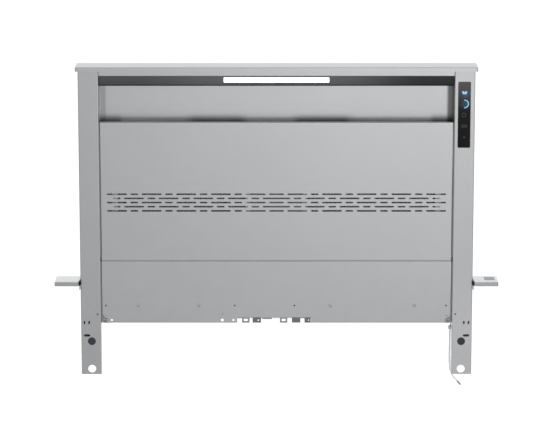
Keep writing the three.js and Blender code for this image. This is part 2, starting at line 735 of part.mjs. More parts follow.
// The hinged panel, made about its hinge line.
function accessPanel() {
  const half = PANEL_HALF;
  const low = PANEL_Z - HINGE_Z;
  const high = PANEL_TOP_Z - HINGE_Z;
  const face = FRONT - HINGE_Y;
  const made = pan(half, [low, high], face, PANEL_FLANGE, THIN_SHEET);
  const cutters = [];
  for (let row = 0; row < SLOT_ROWS; row++) {
    const z = SLOT_CENTRE_Z - HINGE_Z + ((SLOT_ROWS - 1) / 2 - row) * SLOT_ROW_PITCH;
    for (const outline of slotRow(z, row % 2 === 0)) {
      cutters.push(outline);
    }
  }
  const slots = cutters.map((outline) => prism(outline, "y", face - 1, face + THIN_SHEET + 1));
  // Each side flange drops over its pin through a slot that is open below.
  const pinSlots = [-1, 1].map((side) =>
    join(
      prism(circle(0, 0, PIN_RADIUS + SEAT_GAP, 12), "x", ...span(side, half - THIN_SHEET - 1, half + 1)),
      block(
        span(side, half - THIN_SHEET - 0.5, half + 1),
        [-PIN_RADIUS - SEAT_GAP, PIN_RADIUS + SEAT_GAP],
        [low - 1, 0],
      ),
    ),
  );
  return cut(made, ...slots, ...pinSlots);
}

function lowerPanel() {
  const half = PANEL_HALF;
  const made = pan(half, [DUCT_Z, LOWER_TOP_Z], FRONT, PANEL_FLANGE, THIN_SHEET);
  const through = [FRONT - 1, FRONT + THIN_SHEET + 1];
  const corners = [-1, 1].map((side) =>
    prism(
      new THREE.Shape(
        mirrored(side, [
          [half, DUCT_Z + CORNER_TAPER_HEIGHT],
          [half - CORNER_TAPER, DUCT_Z + SHOE_HEIGHT + CORNER_TAPER],
          [half - SHOE_WIDTH - SEAT_GAP, DUCT_Z + SHOE_HEIGHT + SEAT_GAP],
          [half - SHOE_WIDTH - SEAT_GAP, DUCT_Z - 1],
          [half + 1, DUCT_Z - 1],
          [half + 1, DUCT_Z + CORNER_TAPER_HEIGHT],
        ]).map(([x, z]) => v2(x, z)),
      ),
      "y",
      FRONT - 1,
      FRONT + PANEL_FLANGE + 1,
    ),
  );
  const holes = [
    ...OPEN_HOLES.map((x) => circle(x, SCREW_Z, ROW_HOLE_RADIUS, 10)),
    ...EDGE_HOLES.map(([x, radius]) => circle(x, DUCT_Z + EDGE_HOLE_HEIGHT, radius, 12)),
    ...DOTS.map(([x, height]) => circle(x, DUCT_Z + height, DOT_RADIUS, 8)),
    ...LOWER_SCREWS.map((x) => circle(x, SCREW_Z, SCREW_RADIUS + SEAT_GAP, 10)),
  ].map((outline) => prism(outline, "y", ...through));
  return cut(
    made,
    ...corners,
    ...holes,
    block(NOTCH, [FRONT - 1, FRONT + PANEL_FLANGE + 1], [DUCT_Z - 1, DUCT_Z + NOTCH_HEIGHT]),
  );
}

// Places along the lower panel, from the middle of the vent.
const LOWER_SCREWS = [75 - PANEL_HALF, -160, 111, PANEL_HALF - 75];
const OPEN_HOLES = [8 - PANEL_HALF, -86, 37, PANEL_HALF - 10];
const EDGE_HOLES = [
  [20 - PANEL_HALF, 2.2], // and its radius
  [-112, 3.2],
  [-89, 2.2],
];
const DOTS = [
  [8 - PANEL_HALF, 15], // and its height above the duct's lower edge
  [-112, 18.5],
  [65, 18.5],
  [PANEL_HALF - 8, 15],
];

// An angle across the duct behind the row of screws.
function lowerStiffener() {
  const y = FRONT + THIN_SHEET + SEAT_GAP;
  const z = SCREW_Z + STIFFENER_HEIGHT / 2;
  const half = PANEL_HALF - THIN_SHEET - BEND_RADIUS;
  const section = foldedSheet(
    [
      [y, z - STIFFENER_HEIGHT],
      [y, z],
      [y + STIFFENER_DEPTH, z],
    ].reverse(),
    THIN_SHEET,
  );
  const holes = [...LOWER_SCREWS, ...OPEN_HOLES].map((x) =>
    prism(circle(x, SCREW_Z, SCREW_RADIUS + SEAT_GAP, 10), "y", y - 1, y + THIN_SHEET + 1),
  );
  return cut(prism(section, "x", -half, half), ...holes);
}

// Plastic shoe at each lower corner of the duct.
function lowerShoe(side) {
  const half = PANEL_HALF;
  const far = half - CORNER_TAPER / 2;
  const outline = mirrored(side, [
    [half - SHOE_WIDTH, DUCT_Z],
    [far, DUCT_Z],
    [far, DUCT_Z + SHOE_HEIGHT + SHOE_SLOPE],
    [half - SHOE_WIDTH, DUCT_Z + SHOE_HEIGHT],
  ]).map(([x, z]) => v2(x, z));
  const body = prism(new THREE.Shape(outline), "y", FRONT, FRONT + SHOE_DEPTH);
  // The ear lies behind the tapered corner, clear of the folded edge above it, and reaches the post.
  const steepness = (CORNER_TAPER_HEIGHT - SHOE_HEIGHT - CORNER_TAPER) / CORNER_TAPER;
  const shoulder = DUCT_Z + CORNER_TAPER_HEIGHT - steepness * (THIN_SHEET + 2 * SEAT_GAP);
  const earOutline = mirrored(side, [
    [half - SHOE_WIDTH, DUCT_Z],
    [POST_IN - SEAT_GAP, DUCT_Z],
    [POST_IN - SEAT_GAP, DUCT_Z + CORNER_TAPER_HEIGHT],
    [half + SEAT_GAP, DUCT_Z + CORNER_TAPER_HEIGHT],
    [half - THIN_SHEET - SEAT_GAP, shoulder],
    [half - SHOE_EAR_REACH, shoulder],
    [half - SHOE_EAR_REACH, DUCT_Z + SHOE_EAR_HEIGHT],
    [half - SHOE_WIDTH, DUCT_Z + SHOE_EAR_HEIGHT],
  ]).map(([x, z]) => v2(x, z));
  const ear = prism(
    new THREE.Shape(earOutline),
    "y",
    FRONT + SHOE_EAR_SET_BACK,
    FRONT + SHOE_DEPTH,
  );
  const recess = prism(
    circle(side * (half - SHOE_WIDTH / 2), DUCT_Z + SHOE_HEIGHT / 2, SHOE_HOLE_RADIUS, 10),
    "y",
    FRONT - 1,
    FRONT + SHOE_HOLE_DEPTH,
  );
  return cut(join(body, ear), recess);
}

// ---------------------------------------------------------------- riser: lift bracket and its clips
const NOTCH = [NOTCH_OFFSET - NOTCH_WIDTH / 2, NOTCH_OFFSET + NOTCH_WIDTH / 2];

// The span of a piece that hangs in the notch.
function inNotch({ edge, inset, width }) {
  return edge < 0
    ? [NOTCH[0] + inset, NOTCH[0] + inset + width]
    : [NOTCH[1] - inset - width, NOTCH[1] - inset];
}

// A plate behind the lower panel with pierced tabs that hang in its notch.
function liftBracket() {
  const y = FRONT + THIN_SHEET + SEAT_GAP;
  const y1 = y + THIN_SHEET;
  const edge = DUCT_Z + NOTCH_HEIGHT;
  const top = SCREW_Z - STIFFENER_HEIGHT / 2 - SEAT_GAP;
  const plate = block(NOTCH, [y, y1], [edge - 1, top]);
  const shelf = block(NOTCH, [y, WALL_Y - SEAT_GAP], [top - THIN_SHEET, top]);
  const tabs = BRACKET_TABS.map((tab) => {
    const [from, to] = inNotch(tab);
    const slot = slotOutline((from + to) / 2, DUCT_Z + NOTCH_HEIGHT / 2, ...tab.slot);
    return cut(block([from, to], [y, y1], [DUCT_Z, edge]), prism(slot, "y", y - 1, y1 + 1));
  });
  const strip = block(inNotch(BRACKET_STRIP), [y, y1], [edge - BRACKET_STRIP.height, edge]);
  const windows = [];
  for (let k = 0; k < BRACKET_WINDOWS; k++) {
    const middle = NOTCH[0] + (NOTCH_WIDTH * (k + 0.5)) / BRACKET_WINDOWS;
    windows.push(
      block(
        [middle - BRACKET_WINDOW_WIDTH / 2, middle + BRACKET_WINDOW_WIDTH / 2],
        [y1 + BRACKET_WINDOW_INSET, WALL_Y - SEAT_GAP - BRACKET_WINDOW_INSET],
        [top - THIN_SHEET - 1, top + 1],
      ),
    );
  }
  return cut(join(plate, shelf, ...tabs, strip), ...windows);
}

// A spring clip folded over the lower edge of the bracket.
function springClip(clip) {
  const [from, to] = inNotch(clip);
  const y = FRONT + THIN_SHEET + SEAT_GAP;
  const edge = DUCT_Z + NOTCH_HEIGHT - 1 - SEAT_GAP;
  const front = y - CLIP_SHEET;
  const section = foldedSheet(
    [
      [front, edge],
      [front, DUCT_Z],
      [front + CLIP_DEPTH, DUCT_Z],
      [front + CLIP_DEPTH, edge + CLIP_BARB],
      [y + THIN_SHEET + SEAT_GAP, edge + CLIP_BARB],
    ],
    CLIP_SHEET,
    CLIP_BEND,
  );
  const made = prism(section, "x", from, to);
  if (!clip.hole) return made;
  const hole = circle(from + clip.hole.x, DUCT_Z + CLIP_HOLE_HEIGHT, clip.hole.radius, 10);
  return cut(made, prism(hole, "y", front - 1, front + CLIP_DEPTH + 2));
}

// ---------------------------------------------------------------- riser: filters and what holds them
const FILTER_NEAR = MULLION_WIDTH / 2 + SEAT_GAP;
const FILTER_FAR = POST_IN - SEAT_GAP - SIDE_CHANNEL_WIDTH - SEAT_GAP;

// A channel along the top (1) or the bottom (-1) of the filters, open towards them.
function filterRail(end) {
  const half = POST_IN - SEAT_GAP;
  const y0 = FILTER_Y - SEAT_GAP - THIN_SHEET;
  const y1 = FILTER_Y + FILTER_DEPTH + SEAT_GAP + THIN_SHEET;
  const outer = end > 0 ? PANEL_TOP_Z - FILTER_RAIL_INSET : PANEL_Z + FILTER_RAIL_INSET;
  const open = outer - end * (FILTER_RAIL_GRIP + THIN_SHEET);
  const line = [
    [y0, open],
    [y0, outer],
    [y1, outer],
    [y1, open],
  ];
  const section = foldedSheet(end > 0 ? line.reverse() : line, THIN_SHEET, HEM_RADIUS);
  return prism(section, "x", -half, half);
}

const FILTER_FREE_Z = [
  PANEL_Z + FILTER_RAIL_INSET + THIN_SHEET + FILTER_RAIL_GRIP + SEAT_GAP,
  PANEL_TOP_Z - FILTER_RAIL_INSET - THIN_SHEET - FILTER_RAIL_GRIP - SEAT_GAP,
];

// The post between the two filters, a shallow channel seen through the middle slots.
function centreMullion() {
  const half = MULLION_WIDTH / 2;
  const y0 = FILTER_Y - SEAT_GAP - THIN_SHEET;
  const y1 = FILTER_Y + FILTER_DEPTH + SEAT_GAP + THIN_SHEET;
  const section = foldedSheet(
    [
      [-half, y1],
      [-half, y0],
      [half, y0],
      [half, y1],
    ],
    THIN_SHEET,
  );
  return prism(section, "z", ...FILTER_FREE_Z);
}

// Closes the gap between a filter and its post.
function filterChannel(side) {
  const near = FILTER_FAR + SEAT_GAP;
  const far = POST_IN - SEAT_GAP;
  const y0 = FILTER_Y - SEAT_GAP - THIN_SHEET;
  const y1 = FILTER_Y + FILTER_DEPTH + SEAT_GAP + THIN_SHEET;
  const section = foldedSheet(
    mirrored(side, [
      [near, y1],
      [near, y0],
      [far, y0],
      [far, y1],
    ]),
    THIN_SHEET,
  );
  return prism(section, "z", ...FILTER_FREE_Z);
}

function filterFrame(side) {
  const x = span(side, FILTER_NEAR, FILTER_FAR);
  const z = [FILTER_LOW_Z, FILTER_HIGH_Z];
  const outside = roundedRectangle(x, z, FILTER_CORNER_RADIUS);
  const inX = [x[0] + FILTER_BORDER, x[1] - FILTER_BORDER];
  const inZ = [z[0] + FILTER_BORDER, z[1] - FILTER_BORDER];
  const ring = cut(
    prism(outside, "y", FILTER_Y, FILTER_Y + FILTER_DEPTH),
    prism(rectangle(inX, inZ), "y", FILTER_Y - 1, FILTER_Y + FILTER_DEPTH + 1),
  );
  // The groove in the frame's inner edge that the mesh is crimped into.
  const middle = FILTER_Y + FILTER_DEPTH / 2;
  const groove = block(
    [inX[0] - MESH_GRIP - SEAT_GAP, inX[1] + MESH_GRIP + SEAT_GAP],
    [middle - MESH_DEPTH / 2 - SEAT_GAP, middle + MESH_DEPTH / 2 + SEAT_GAP],
    [inZ[0] - MESH_GRIP - SEAT_GAP, inZ[1] + MESH_GRIP + SEAT_GAP],
  );
  return cut(ring, groove);
}
const MESH_GRIP = 5;

// A cranked strip on the border of a filter beside the centre, to lift the filter out by.
function filterPull(side) {
  const back = FILTER_Y - SEAT_GAP;
  const middle = FILTER_NEAR + FILTER_BORDER / 2;
  const section = foldedSheet(
    [
      [back, PULL_Z],
      [back, PULL_Z + PULL_FOOT],
      [back - PULL_REACH, PULL_Z + PULL_FOOT],
      [back - PULL_REACH, PULL_Z + PULL_FOOT + PULL_LIP],
    ],
    THIN_SHEET,
  );
  return prism(section, "x", ...span(side, middle - PULL_WIDTH / 2, middle + PULL_WIDTH / 2));
}

// The grease mesh as one pleated layer, its pleats upright.
function filterMesh(side) {
  const [x0, x1] = span(side, FILTER_NEAR, FILTER_FAR);
  const from = x0 + FILTER_BORDER - MESH_GRIP;
  const to = x1 - FILTER_BORDER + MESH_GRIP;
  const middle = FILTER_Y + FILTER_DEPTH / 2;
  const swing = (MESH_DEPTH - MESH_SHEET) / 2;
  const steps = MESH_WAVES * 4;
  const wave = (k, offset) =>
    v2(from + ((to - from) * k) / steps, middle + swing * Math.sin((k * Math.PI) / 2 - Math.PI / 2) + offset);
  const near = [];
  const far = [];
  for (let k = 0; k <= steps; k++) {
    near.push(wave(k, -MESH_SHEET / 2));
    far.push(wave(k, MESH_SHEET / 2));
  }
  return prism(
    new THREE.Shape([...near, ...far.reverse()]),
    "z",
    FILTER_LOW_Z + FILTER_BORDER - MESH_GRIP,
    FILTER_HIGH_Z - FILTER_BORDER + MESH_GRIP,
  );
}

// ---------------------------------------------------------------- riser: hinge pins and catches
// A headed pin through the inner face of the post, its head inside.
function hingePin(side) {
  const inside = POST_IN + SHEET + SEAT_GAP;
  const tip = POST_IN - PIN_REACH;
  const profile = [
    v2(0, inside + PIN_HEAD),
    v2(PIN_HEAD_RADIUS, inside + PIN_HEAD),
    v2(PIN_HEAD_RADIUS, inside),
    v2(PIN_RADIUS, inside),
    v2(PIN_RADIUS, tip + PIN_CHAMFER),
    v2(PIN_RADIUS - PIN_CHAMFER, tip),
    v2(0, tip),
  ].reverse();
  const geometry = new THREE.LatheGeometry(profile, 12);
  geometry.rotateZ(side > 0 ? -Math.PI / 2 : Math.PI / 2);
  return geometry.translate(0, HINGE_Y, HINGE_Z);
}

// A magnet block on the top filter rail that holds the panel shut.
function catchMagnet(side) {
  const y0 = FRONT + THIN_SHEET + SEAT_GAP;
  const y1 = FILTER_Y - 2 * SEAT_GAP - THIN_SHEET;
  const top = PANEL_TOP_Z - FILTER_RAIL_INSET;
  const x = side * (POST_IN - MAGNET_FROM_POST);
  const z = [top - FILTER_RAIL_GRIP, top - THIN_SHEET - SEAT_GAP];
  const across = (width) => [x - width / 2, x + width / 2];
  const body = block(across(MAGNET_WIDTH), [y0 + MAGNET_POLE_PROUD, y1], z);
  const pole = block(across(MAGNET_POLE_WIDTH), [y0, (y0 + y1) / 2], [z[0] + 1.5, z[1] - 1.5]);
  return join(body, pole);
}

// ---------------------------------------------------------------- riser: touch control and its lead
function controlPlate() {
  const half = GLASS_WIDTH / 2;
  return prism(
    roundedRectangle([CONTROL_X - half, CONTROL_X + half], [GLASS_Z, GLASS_TOP_Z], GLASS_RADIUS),
    "y",
    FRONT - GLASS_PROUD,
    FRONT - GLASS_PROUD + GLASS_THICKNESS,
  );
}

const CONTROL_Y = Math.max(FRONT + SHEET, FRONT - GLASS_PROUD + GLASS_THICKNESS) + SEAT_GAP;

// The frame behind the glass, with a light hole behind each key.
function controlBox() {
  const half = GLASS_WIDTH / 2 + CONTROL_BOX_RIM;
  const z = [GLASS_Z - CONTROL_BOX_RIM, GLASS_TOP_Z + CONTROL_BOX_RIM];
  const shell = prism(
    roundedRectangle([CONTROL_X - half, CONTROL_X + half], z, GLASS_RADIUS),
    "y",
    CONTROL_Y,
    CONTROL_Y + CONTROL_BOX_DEPTH,
  );
  const pocket = block(
    [CONTROL_X - half + CONTROL_BOX_WALL, CONTROL_X + half - CONTROL_BOX_WALL],
    [CONTROL_Y + CONTROL_BOX_WALL, CONTROL_Y + CONTROL_BOX_DEPTH + 1],
    [z[0] + CONTROL_BOX_WALL, z[1] - CONTROL_BOX_WALL],
  );
  const keys = [];
  for (let k = 0; k < CONTROL_KEYS; k++) {
    const keyZ = GLASS_MID_Z + ((CONTROL_KEYS - 1) / 2 - k) * CONTROL_KEY_PITCH;
    keys.push(
      prism(
        circle(CONTROL_X, keyZ, CONTROL_KEY_RADIUS, 12),
        "y",
        CONTROL_Y - 1,
        CONTROL_Y + CONTROL_BOX_WALL + 1,
      ),
    );
  }
  const leadWay = block(
    [CONTROL_X - LEAD_WAY_WIDTH / 2, CONTROL_X + LEAD_WAY_WIDTH / 2],
    [CONTROL_Y + CONTROL_BOX_WALL, CONTROL_Y + CONTROL_BOX_DEPTH + 1],
    [z[0] - 1, z[0] + CONTROL_BOX_WALL + 1],
  );
  return cut(shell, pocket, leadWay, ...keys);
}

const BOARD_Y = CONTROL_Y + CONTROL_BOX_WALL + SEAT_GAP;
const BOARD_LOW_Z = GLASS_Z - CONTROL_BOX_RIM + CONTROL_BOX_WALL + SEAT_GAP;
const SOCKET_DEPTH = 4.5;
const SOCKET_WIDTH = 10;
const SOCKET_HEIGHT = 7;
const SOCKET_Z = BOARD_LOW_Z + 3;

function controlBoard() {
  const half = GLASS_WIDTH / 2 + CONTROL_BOX_RIM - CONTROL_BOX_WALL - SEAT_GAP;
  const top = GLASS_TOP_Z + CONTROL_BOX_RIM - CONTROL_BOX_WALL - SEAT_GAP;
  const y1 = BOARD_Y + BOARD_THICKNESS;
  const board = block([CONTROL_X - half, CONTROL_X + half], [BOARD_Y, y1], [BOARD_LOW_Z, top]);
  const chip = block(
    [CONTROL_X - CONTROL_CHIP / 2, CONTROL_X + CONTROL_CHIP / 2],
    [BOARD_Y, y1 + CONTROL_CHIP_HEIGHT],
    [GLASS_MID_Z - CONTROL_CHIP / 2, GLASS_MID_Z + CONTROL_CHIP / 2],
  );
  const socket = block(
    [CONTROL_X - SOCKET_WIDTH / 2, CONTROL_X + SOCKET_WIDTH / 2],
    [BOARD_Y, y1 + SOCKET_DEPTH],
    [SOCKET_Z, SOCKET_Z + SOCKET_HEIGHT],
  );
  return join(board, chip, socket);
}

// A round cable along a curve through chosen points.
function cable(points, steps, radius = LEAD_RADIUS, sides = LEAD_SIDES) {
  const section = new THREE.Shape();
  for (let k = 0; k < sides; k++) {
    const angle = (k / sides) * Math.PI * 2;
    const corner = [radius * Math.cos(angle), radius * Math.sin(angle)];
    if (k) section.lineTo(...corner);
    else section.moveTo(...corner);
  }
  const path = new THREE.CatmullRomCurve3(points, false, "centripetal");
  return new THREE.ExtrudeGeometry(section, { steps, extrudePath: path, bevelEnabled: false });
}

// Down the inside of the right post, from the socket of the control board to the clip at the foot.
function controlLead() {
  const y = BOARD_Y + BOARD_THICKNESS + SOCKET_DEPTH / 2;
  const socketZ = SOCKET_Z - SEAT_GAP;
  return cable(
    [
      v3(CONTROL_X, y + 2, socketZ - 0.2),
      v3(CONTROL_X, y + 2.6, socketZ - 10),
      v3(POST_IN + 14, y + 6, GLASS_Z - 60),
      v3(POST_IN + 9, 2, GLASS_Z / 2),
      v3(POST_IN + 8, 4, HINGE_Z),
      v3(POST_IN + 8, 6, DUCT_Z + 14),
      v3(POST_IN + 5.5, 8.6, DUCT_Z + 3.5),
      v3(POST_IN + 1.5, 9.4, DUCT_Z - 6),
      LEAD_EXIT.clone().add(v3(0.1, 0.1, 5)),
      LEAD_EXIT.clone().add(v3(0, 0, SEAT_GAP)),
    ],
    46,
  );
}

// Where the lead leaves its clip, just below the duct, and its free end, which hangs past the foot.
const LEAD_EXIT = v3(POST_IN - 2.2, 8.6, DUCT_Z - 16.5);
const TAIL_POINTS = [
  LEAD_EXIT,
  v3(POST_IN - 2.2, 8.6, DUCT_Z - 26),
  v3(POST_IN - 2.3, 8.5, FOOT_Z + 62),
  v3(POST_IN - 2.5, 8.3, FOOT_Z + 40),
  v3(POST_IN - 2.4, 8.2, FOOT_Z + 21),
  v3(POST_IN - 1, 8.3, FOOT_Z + 5.5),
  v3(POST_IN + 2.6, 8.5, FOOT_Z - 6.5),
  v3(POST_IN + 7.8, 8.8, FOOT_Z - 15),
  v3(POST_IN + 14, 9.2, FOOT_Z - 22),
];

function leadTail() {
  return cable(TAIL_POINTS, 44);
}

// A clip on the rear edge of the inner flange of the right foot, with the lead through it.
function leadClip() {
  const y0 = FRONT + LEG_FLANGE + SEAT_GAP;
  const z = [LEAD_EXIT.z - LEAD_CLIP_HEIGHT / 2, LEAD_EXIT.z + LEAD_CLIP_HEIGHT / 2];
  const bore = LEAD_RADIUS + LEAD_CLIP_GAP;
  const reach = bore + CLIP_WALL;
  const outside = block(
    [LEAD_EXIT.x - reach, LEAD_EXIT.x + reach],
    [y0, LEAD_EXIT.y + reach],
    z,
  );
  const leadWay = prism(circle(LEAD_EXIT.x, LEAD_EXIT.y, bore, 12), "z", z[0] - 1, z[1] + 1);
  const near = POST_IN - SEAT_GAP;
  const far = POST_IN + SHEET + SEAT_GAP;
  const jaw = block([near - CLIP_WALL, far + CLIP_WALL], [y0 - LEAD_CLIP_GRIP, y0 + CLIP_WALL], z);
  const flange = block([near, far], [y0 - LEAD_CLIP_GRIP - 1, y0], [z[0] - 1, z[1] + 1]);
  return cut(join(outside, jaw), leadWay, flange);
}

// The connector at its end, made along +X, with a latch rib and a row of sockets in its open end.
function leadConnector() {
  const end = TAIL_POINTS[TAIL_POINTS.length - 1];
  const before = TAIL_POINTS[TAIL_POINTS.length - 2];
  const heading = end.clone().sub(before).normalize();
  const near = SEAT_GAP + CONNECTOR_NECK;
  const far = near + CONNECTOR_LENGTH;
  const halfWidth = CONNECTOR_WIDTH / 2;
  const halfHeight = CONNECTOR_HEIGHT / 2;
  const body = block([near, far], [-halfWidth, halfWidth], [-halfHeight, halfHeight]);
  const [neckWidth, neckHeight] = CONNECTOR_NECK_SIZE;
  const neck = block(
    [SEAT_GAP, near + 0.2],
    [-neckWidth / 2, neckWidth / 2],
    [-neckHeight / 2, neckHeight / 2],
  );
  const latch = block(
    [near + LATCH_START, near + LATCH_START + LATCH_LENGTH],
    [-LATCH_WIDTH / 2, LATCH_WIDTH / 2],
    [0, halfHeight + LATCH_HEIGHT],
  );
  const [width, height, depth] = CONNECTOR_SOCKET;
  const sockets = [];
  for (let k = 0; k < CONNECTOR_WAYS; k++) {
    const y = (k - (CONNECTOR_WAYS - 1) / 2) * CONNECTOR_PITCH;
    sockets.push(
      block([far - depth, far + 1], [y - width / 2, y + width / 2], [-height / 2, height / 2]),
    );
  }
  return geometryOf(cut(join(body, neck, latch), ...sockets))
    .applyQuaternion(new THREE.Quaternion().setFromUnitVectors(v3(1, 0, 0), heading))
    .translate(end.x, end.y, end.z);
}

// A push-in plug that closes the upper hole of a foot.
function holePlug(side) {
  const profile = [
    v2(0, -PLUG_HEAD),
    v2(PLUG_HEAD_RADIUS - PLUG_HEAD_CHAMFER, -PLUG_HEAD),
    v2(PLUG_HEAD_RADIUS, -PLUG_HEAD / 3),
    v2(PLUG_HEAD_RADIUS, 0),
    v2(PLUG_RADIUS, 0),
    v2(PLUG_RADIUS, SHEET + SEAT_GAP * 2),
    v2(PLUG_RADIUS - PLUG_SHANK_CHAMFER, SHEET + PLUG_SHANK),
    v2(0, SHEET + PLUG_SHANK),
  ];
  const holeX = side * (POST_IN + HOLES_FROM_INSIDE);
  return new THREE.LatheGeometry(profile, 20).translate(holeX, FRONT - SEAT_GAP, FOOT_Z + PLUG_HEIGHT);
}

// ---------------------------------------------------------------- fixed frame in the countertop
const BUTTON_X = TRIM_OUT - BUTTON_FROM_END;

// A shallow tray turned upside down, cut back at its inner front corner for the guide.
function endTrim(side) {
  const half = TRIM_DEPTH / 2;
  const shell = tray(
    span(side, TRIM_IN, TRIM_OUT),
    [-half, half],
    [0, TRIM_HEIGHT],
    SHEET,
    TRIM_INNER_RADIUS + SHEET,
  );
  const corner = block(
    span(side, TRIM_IN - 1, POST_OUT + SLIDE_GAP + GUIDE_WIDTH + SEAT_GAP),
    [-half - 1, -half + GUIDE_LENGTH + SEAT_GAP],
    [-1, TRIM_HEIGHT + 1],
  );
  // The rail's end comes in through the inner wall at the back.
  const railWay = block(
    span(side, TRIM_IN - 1, TRIM_IN + SHEET + 1),
    [RAIL_Y - SEAT_GAP, RAIL_Y + RAIL_DEPTH + SEAT_GAP],
    [-1, RAIL_TOP_Z + SEAT_GAP / 2],
  );
  let made = cut(shell, corner, railWay);
  if (side > 0) {
    made = cut(
      made,
      prism(
        roundedRectangle(
          [BUTTON_X - BUTTON_WIDTH / 2 - SEAT_GAP, BUTTON_X + BUTTON_WIDTH / 2 + SEAT_GAP],
          [
            BUTTON_BACK - BUTTON_DEPTH / 2 - SEAT_GAP,
            BUTTON_BACK + BUTTON_DEPTH / 2 + SEAT_GAP,
          ],
          BUTTON_RADIUS + SEAT_GAP,
        ),
        "z",
        0,
        TRIM_HEIGHT + 1,
      ),
    );
  }
  return made;
}

// The plate that the trim clips over, with a tongue that hooks down beside the post.
function trimBase(side) {
  const half = TRIM_DEPTH / 2 - SHEET - SEAT_GAP;
  const near = TRIM_IN + SHEET + SEAT_GAP;
  const far = TRIM_OUT - SHEET - SEAT_GAP;
  const footprint = roundedRectangle(span(side, near, far), [-half, half], TRIM_INNER_RADIUS);
  const plate = prism(footprint, "z", 0, BASE_PLATE);
  const reach = [-half, -half + GUIDE_LENGTH - SHEET - 2 * SEAT_GAP];
  const arm = block(span(side, POST_OUT + SLIDE_GAP, near + 1), reach, [0, BASE_PLATE]);
  const tongue = block(
    span(side, POST_OUT + SLIDE_GAP, POST_OUT + SLIDE_GAP + BASE_PLATE),
    reach,
    [-TONGUE_DROP, BASE_PLATE],
  );
  const holes = [-1, 1].map((end) => {
    const y = (end * BASE_HOLE_PITCH) / 2;
    const outline = circle(side * (near + BASE_HOLE_INSET), y, BASE_HOLE_RADIUS, 12);
    return prism(outline, "z", -1, BASE_PLATE + 1);
  });
  return cut(join(plate, arm, tongue), ...holes, railScrewHole(side, 0, BASE_PLATE));
}
const RAIL_SCREW_X = POST_OUT + RAIL_SCREW_OUT;
const RAIL_SCREW_Y = RAIL_Y + RAIL_DEPTH / 2;

// A channel behind the riser, whose head runs on into both trims and is screwed down there.
function rearRail() {
  const far = TRIM_OUT - SHEET - RAIL_END_GAP;
  const webFar = RAIL_SCREW_X - RAIL_WEB_SHORT;
  const wide = POST_OUT - 1;
  const y1 = RAIL_Y + RAIL_DEPTH;
  const low = BASE_PLATE + SEAT_GAP;
  const web = block([-wide, wide], [RAIL_Y, RAIL_Y + RAIL_SHEET], [-RAIL_DROP, RAIL_TOP_Z]);
  const foot = block([-wide, wide], [RAIL_Y, y1], [-RAIL_DROP, -RAIL_DROP + RAIL_SHEET]);
  const head = block([-wide, wide], [RAIL_Y, y1], [RAIL_TOP_Z - RAIL_SHEET, RAIL_TOP_Z]);
  const lug = block([-far, far], [RAIL_Y, y1], [low, low + RAIL_SHEET]);
  const lugWeb = block([-webFar, webFar], [RAIL_Y, RAIL_Y + RAIL_SHEET], [low, RAIL_TOP_Z]);
  const screwHoles = [-1, 1].map((side) => railScrewHole(side, low, low + RAIL_SHEET));
  const guideHoles = [-1, 1].map((side) =>
    prism(
      circle(side * GUIDE_X, -RAIL_DROP / 2, GUIDE_STUD_RADIUS + SEAT_GAP, 12),
      "y",
      RAIL_Y - 1,
      RAIL_Y + RAIL_SHEET + 1,
    ),
  );
  return cut(join(web, foot, head, lug, lugWeb), ...screwHoles, ...guideHoles);
}

function railScrewHole(side, z0, z1) {
  const outline = circle(side * RAIL_SCREW_X, RAIL_SCREW_Y, SMALL_SCREW_RADIUS + SEAT_GAP, 12);
  return prism(outline, "z", z0 - 1, z1 + 1);
}

// Slim pad at the front outer corner of a post.
function frontGuide(side) {
  const half = TRIM_DEPTH / 2;
  const z = [BASE_PLATE + SEAT_GAP, TRIM_HEIGHT + GUIDE_RIM];
  const near = POST_OUT + SLIDE_GAP;
  const face = GUIDE_SET_BACK - half;
  const body = block(span(side, near, near + GUIDE_WIDTH), [face, GUIDE_LENGTH - half], z);
  const lip = block(span(side, near - GUIDE_LIP, near + 1), [face, FRONT - SLIDE_GAP], z);
  return join(body, lip);
}

// A slider whose head runs inside the post and whose neck comes out through the slot in its back.
function rearGuide(side) {
  const x = side * GUIDE_X;
  const neck = GUIDE_SLOT / 2 - SLIDE_GAP;
  const inside = BACK - SHEET - SLIDE_GAP;
  const z = [-RAIL_DROP / 2 - REAR_GUIDE_HEIGHT / 2, -RAIL_DROP / 2 + REAR_GUIDE_HEIGHT / 2];
  const half = REAR_GUIDE_WIDTH / 2;
  const head = block([x - half, x + half], [inside - REAR_GUIDE_HEAD, inside], z);
  const stem = block([x - neck, x + neck], [inside - 1, RAIL_Y - SEAT_GAP], z);
  const studEnd = RAIL_Y + RAIL_SHEET + GUIDE_STUD_END;
  const stud = prism(circle(x, -RAIL_DROP / 2, GUIDE_STUD_RADIUS, 12), "y", RAIL_Y - 1, studEnd);
  return join(head, stem, stud);
}

// ---------------------------------------------------------------- raise and lower button
function buttonFrame() {
  const halfX = BUTTON_WIDTH / 2 + BUTTON_FLANGE + SEAT_GAP;
  const halfY = BUTTON_DEPTH / 2 + BUTTON_FLANGE + SEAT_GAP;
  const wall = BUTTON_FRAME_WALL;
  const z = [BASE_PLATE + SEAT_GAP, TRIM_HEIGHT - SHEET - SEAT_GAP];
  const outside = rectangle(
    [BUTTON_X - halfX - wall, BUTTON_X + halfX + wall],
    [BUTTON_BACK - halfY - wall, BUTTON_BACK + halfY + wall],
  );
  const inside = rectangle(
    [BUTTON_X - halfX, BUTTON_X + halfX],
    [BUTTON_BACK - halfY, BUTTON_BACK + halfY],
  );
  return cut(prism(outside, "z", ...z), prism(inside, "z", z[0] - 1, z[1] + 1));
}

const SWITCH_BOARD_Z = BASE_PLATE + SEAT_GAP;
const SWITCH_BOARD_TOP = SWITCH_BOARD_Z + SWITCH_BOARD;
const BUTTON_UNDER_Z = TRIM_HEIGHT - SHEET - SEAT_GAP - BUTTON_FLANGE;

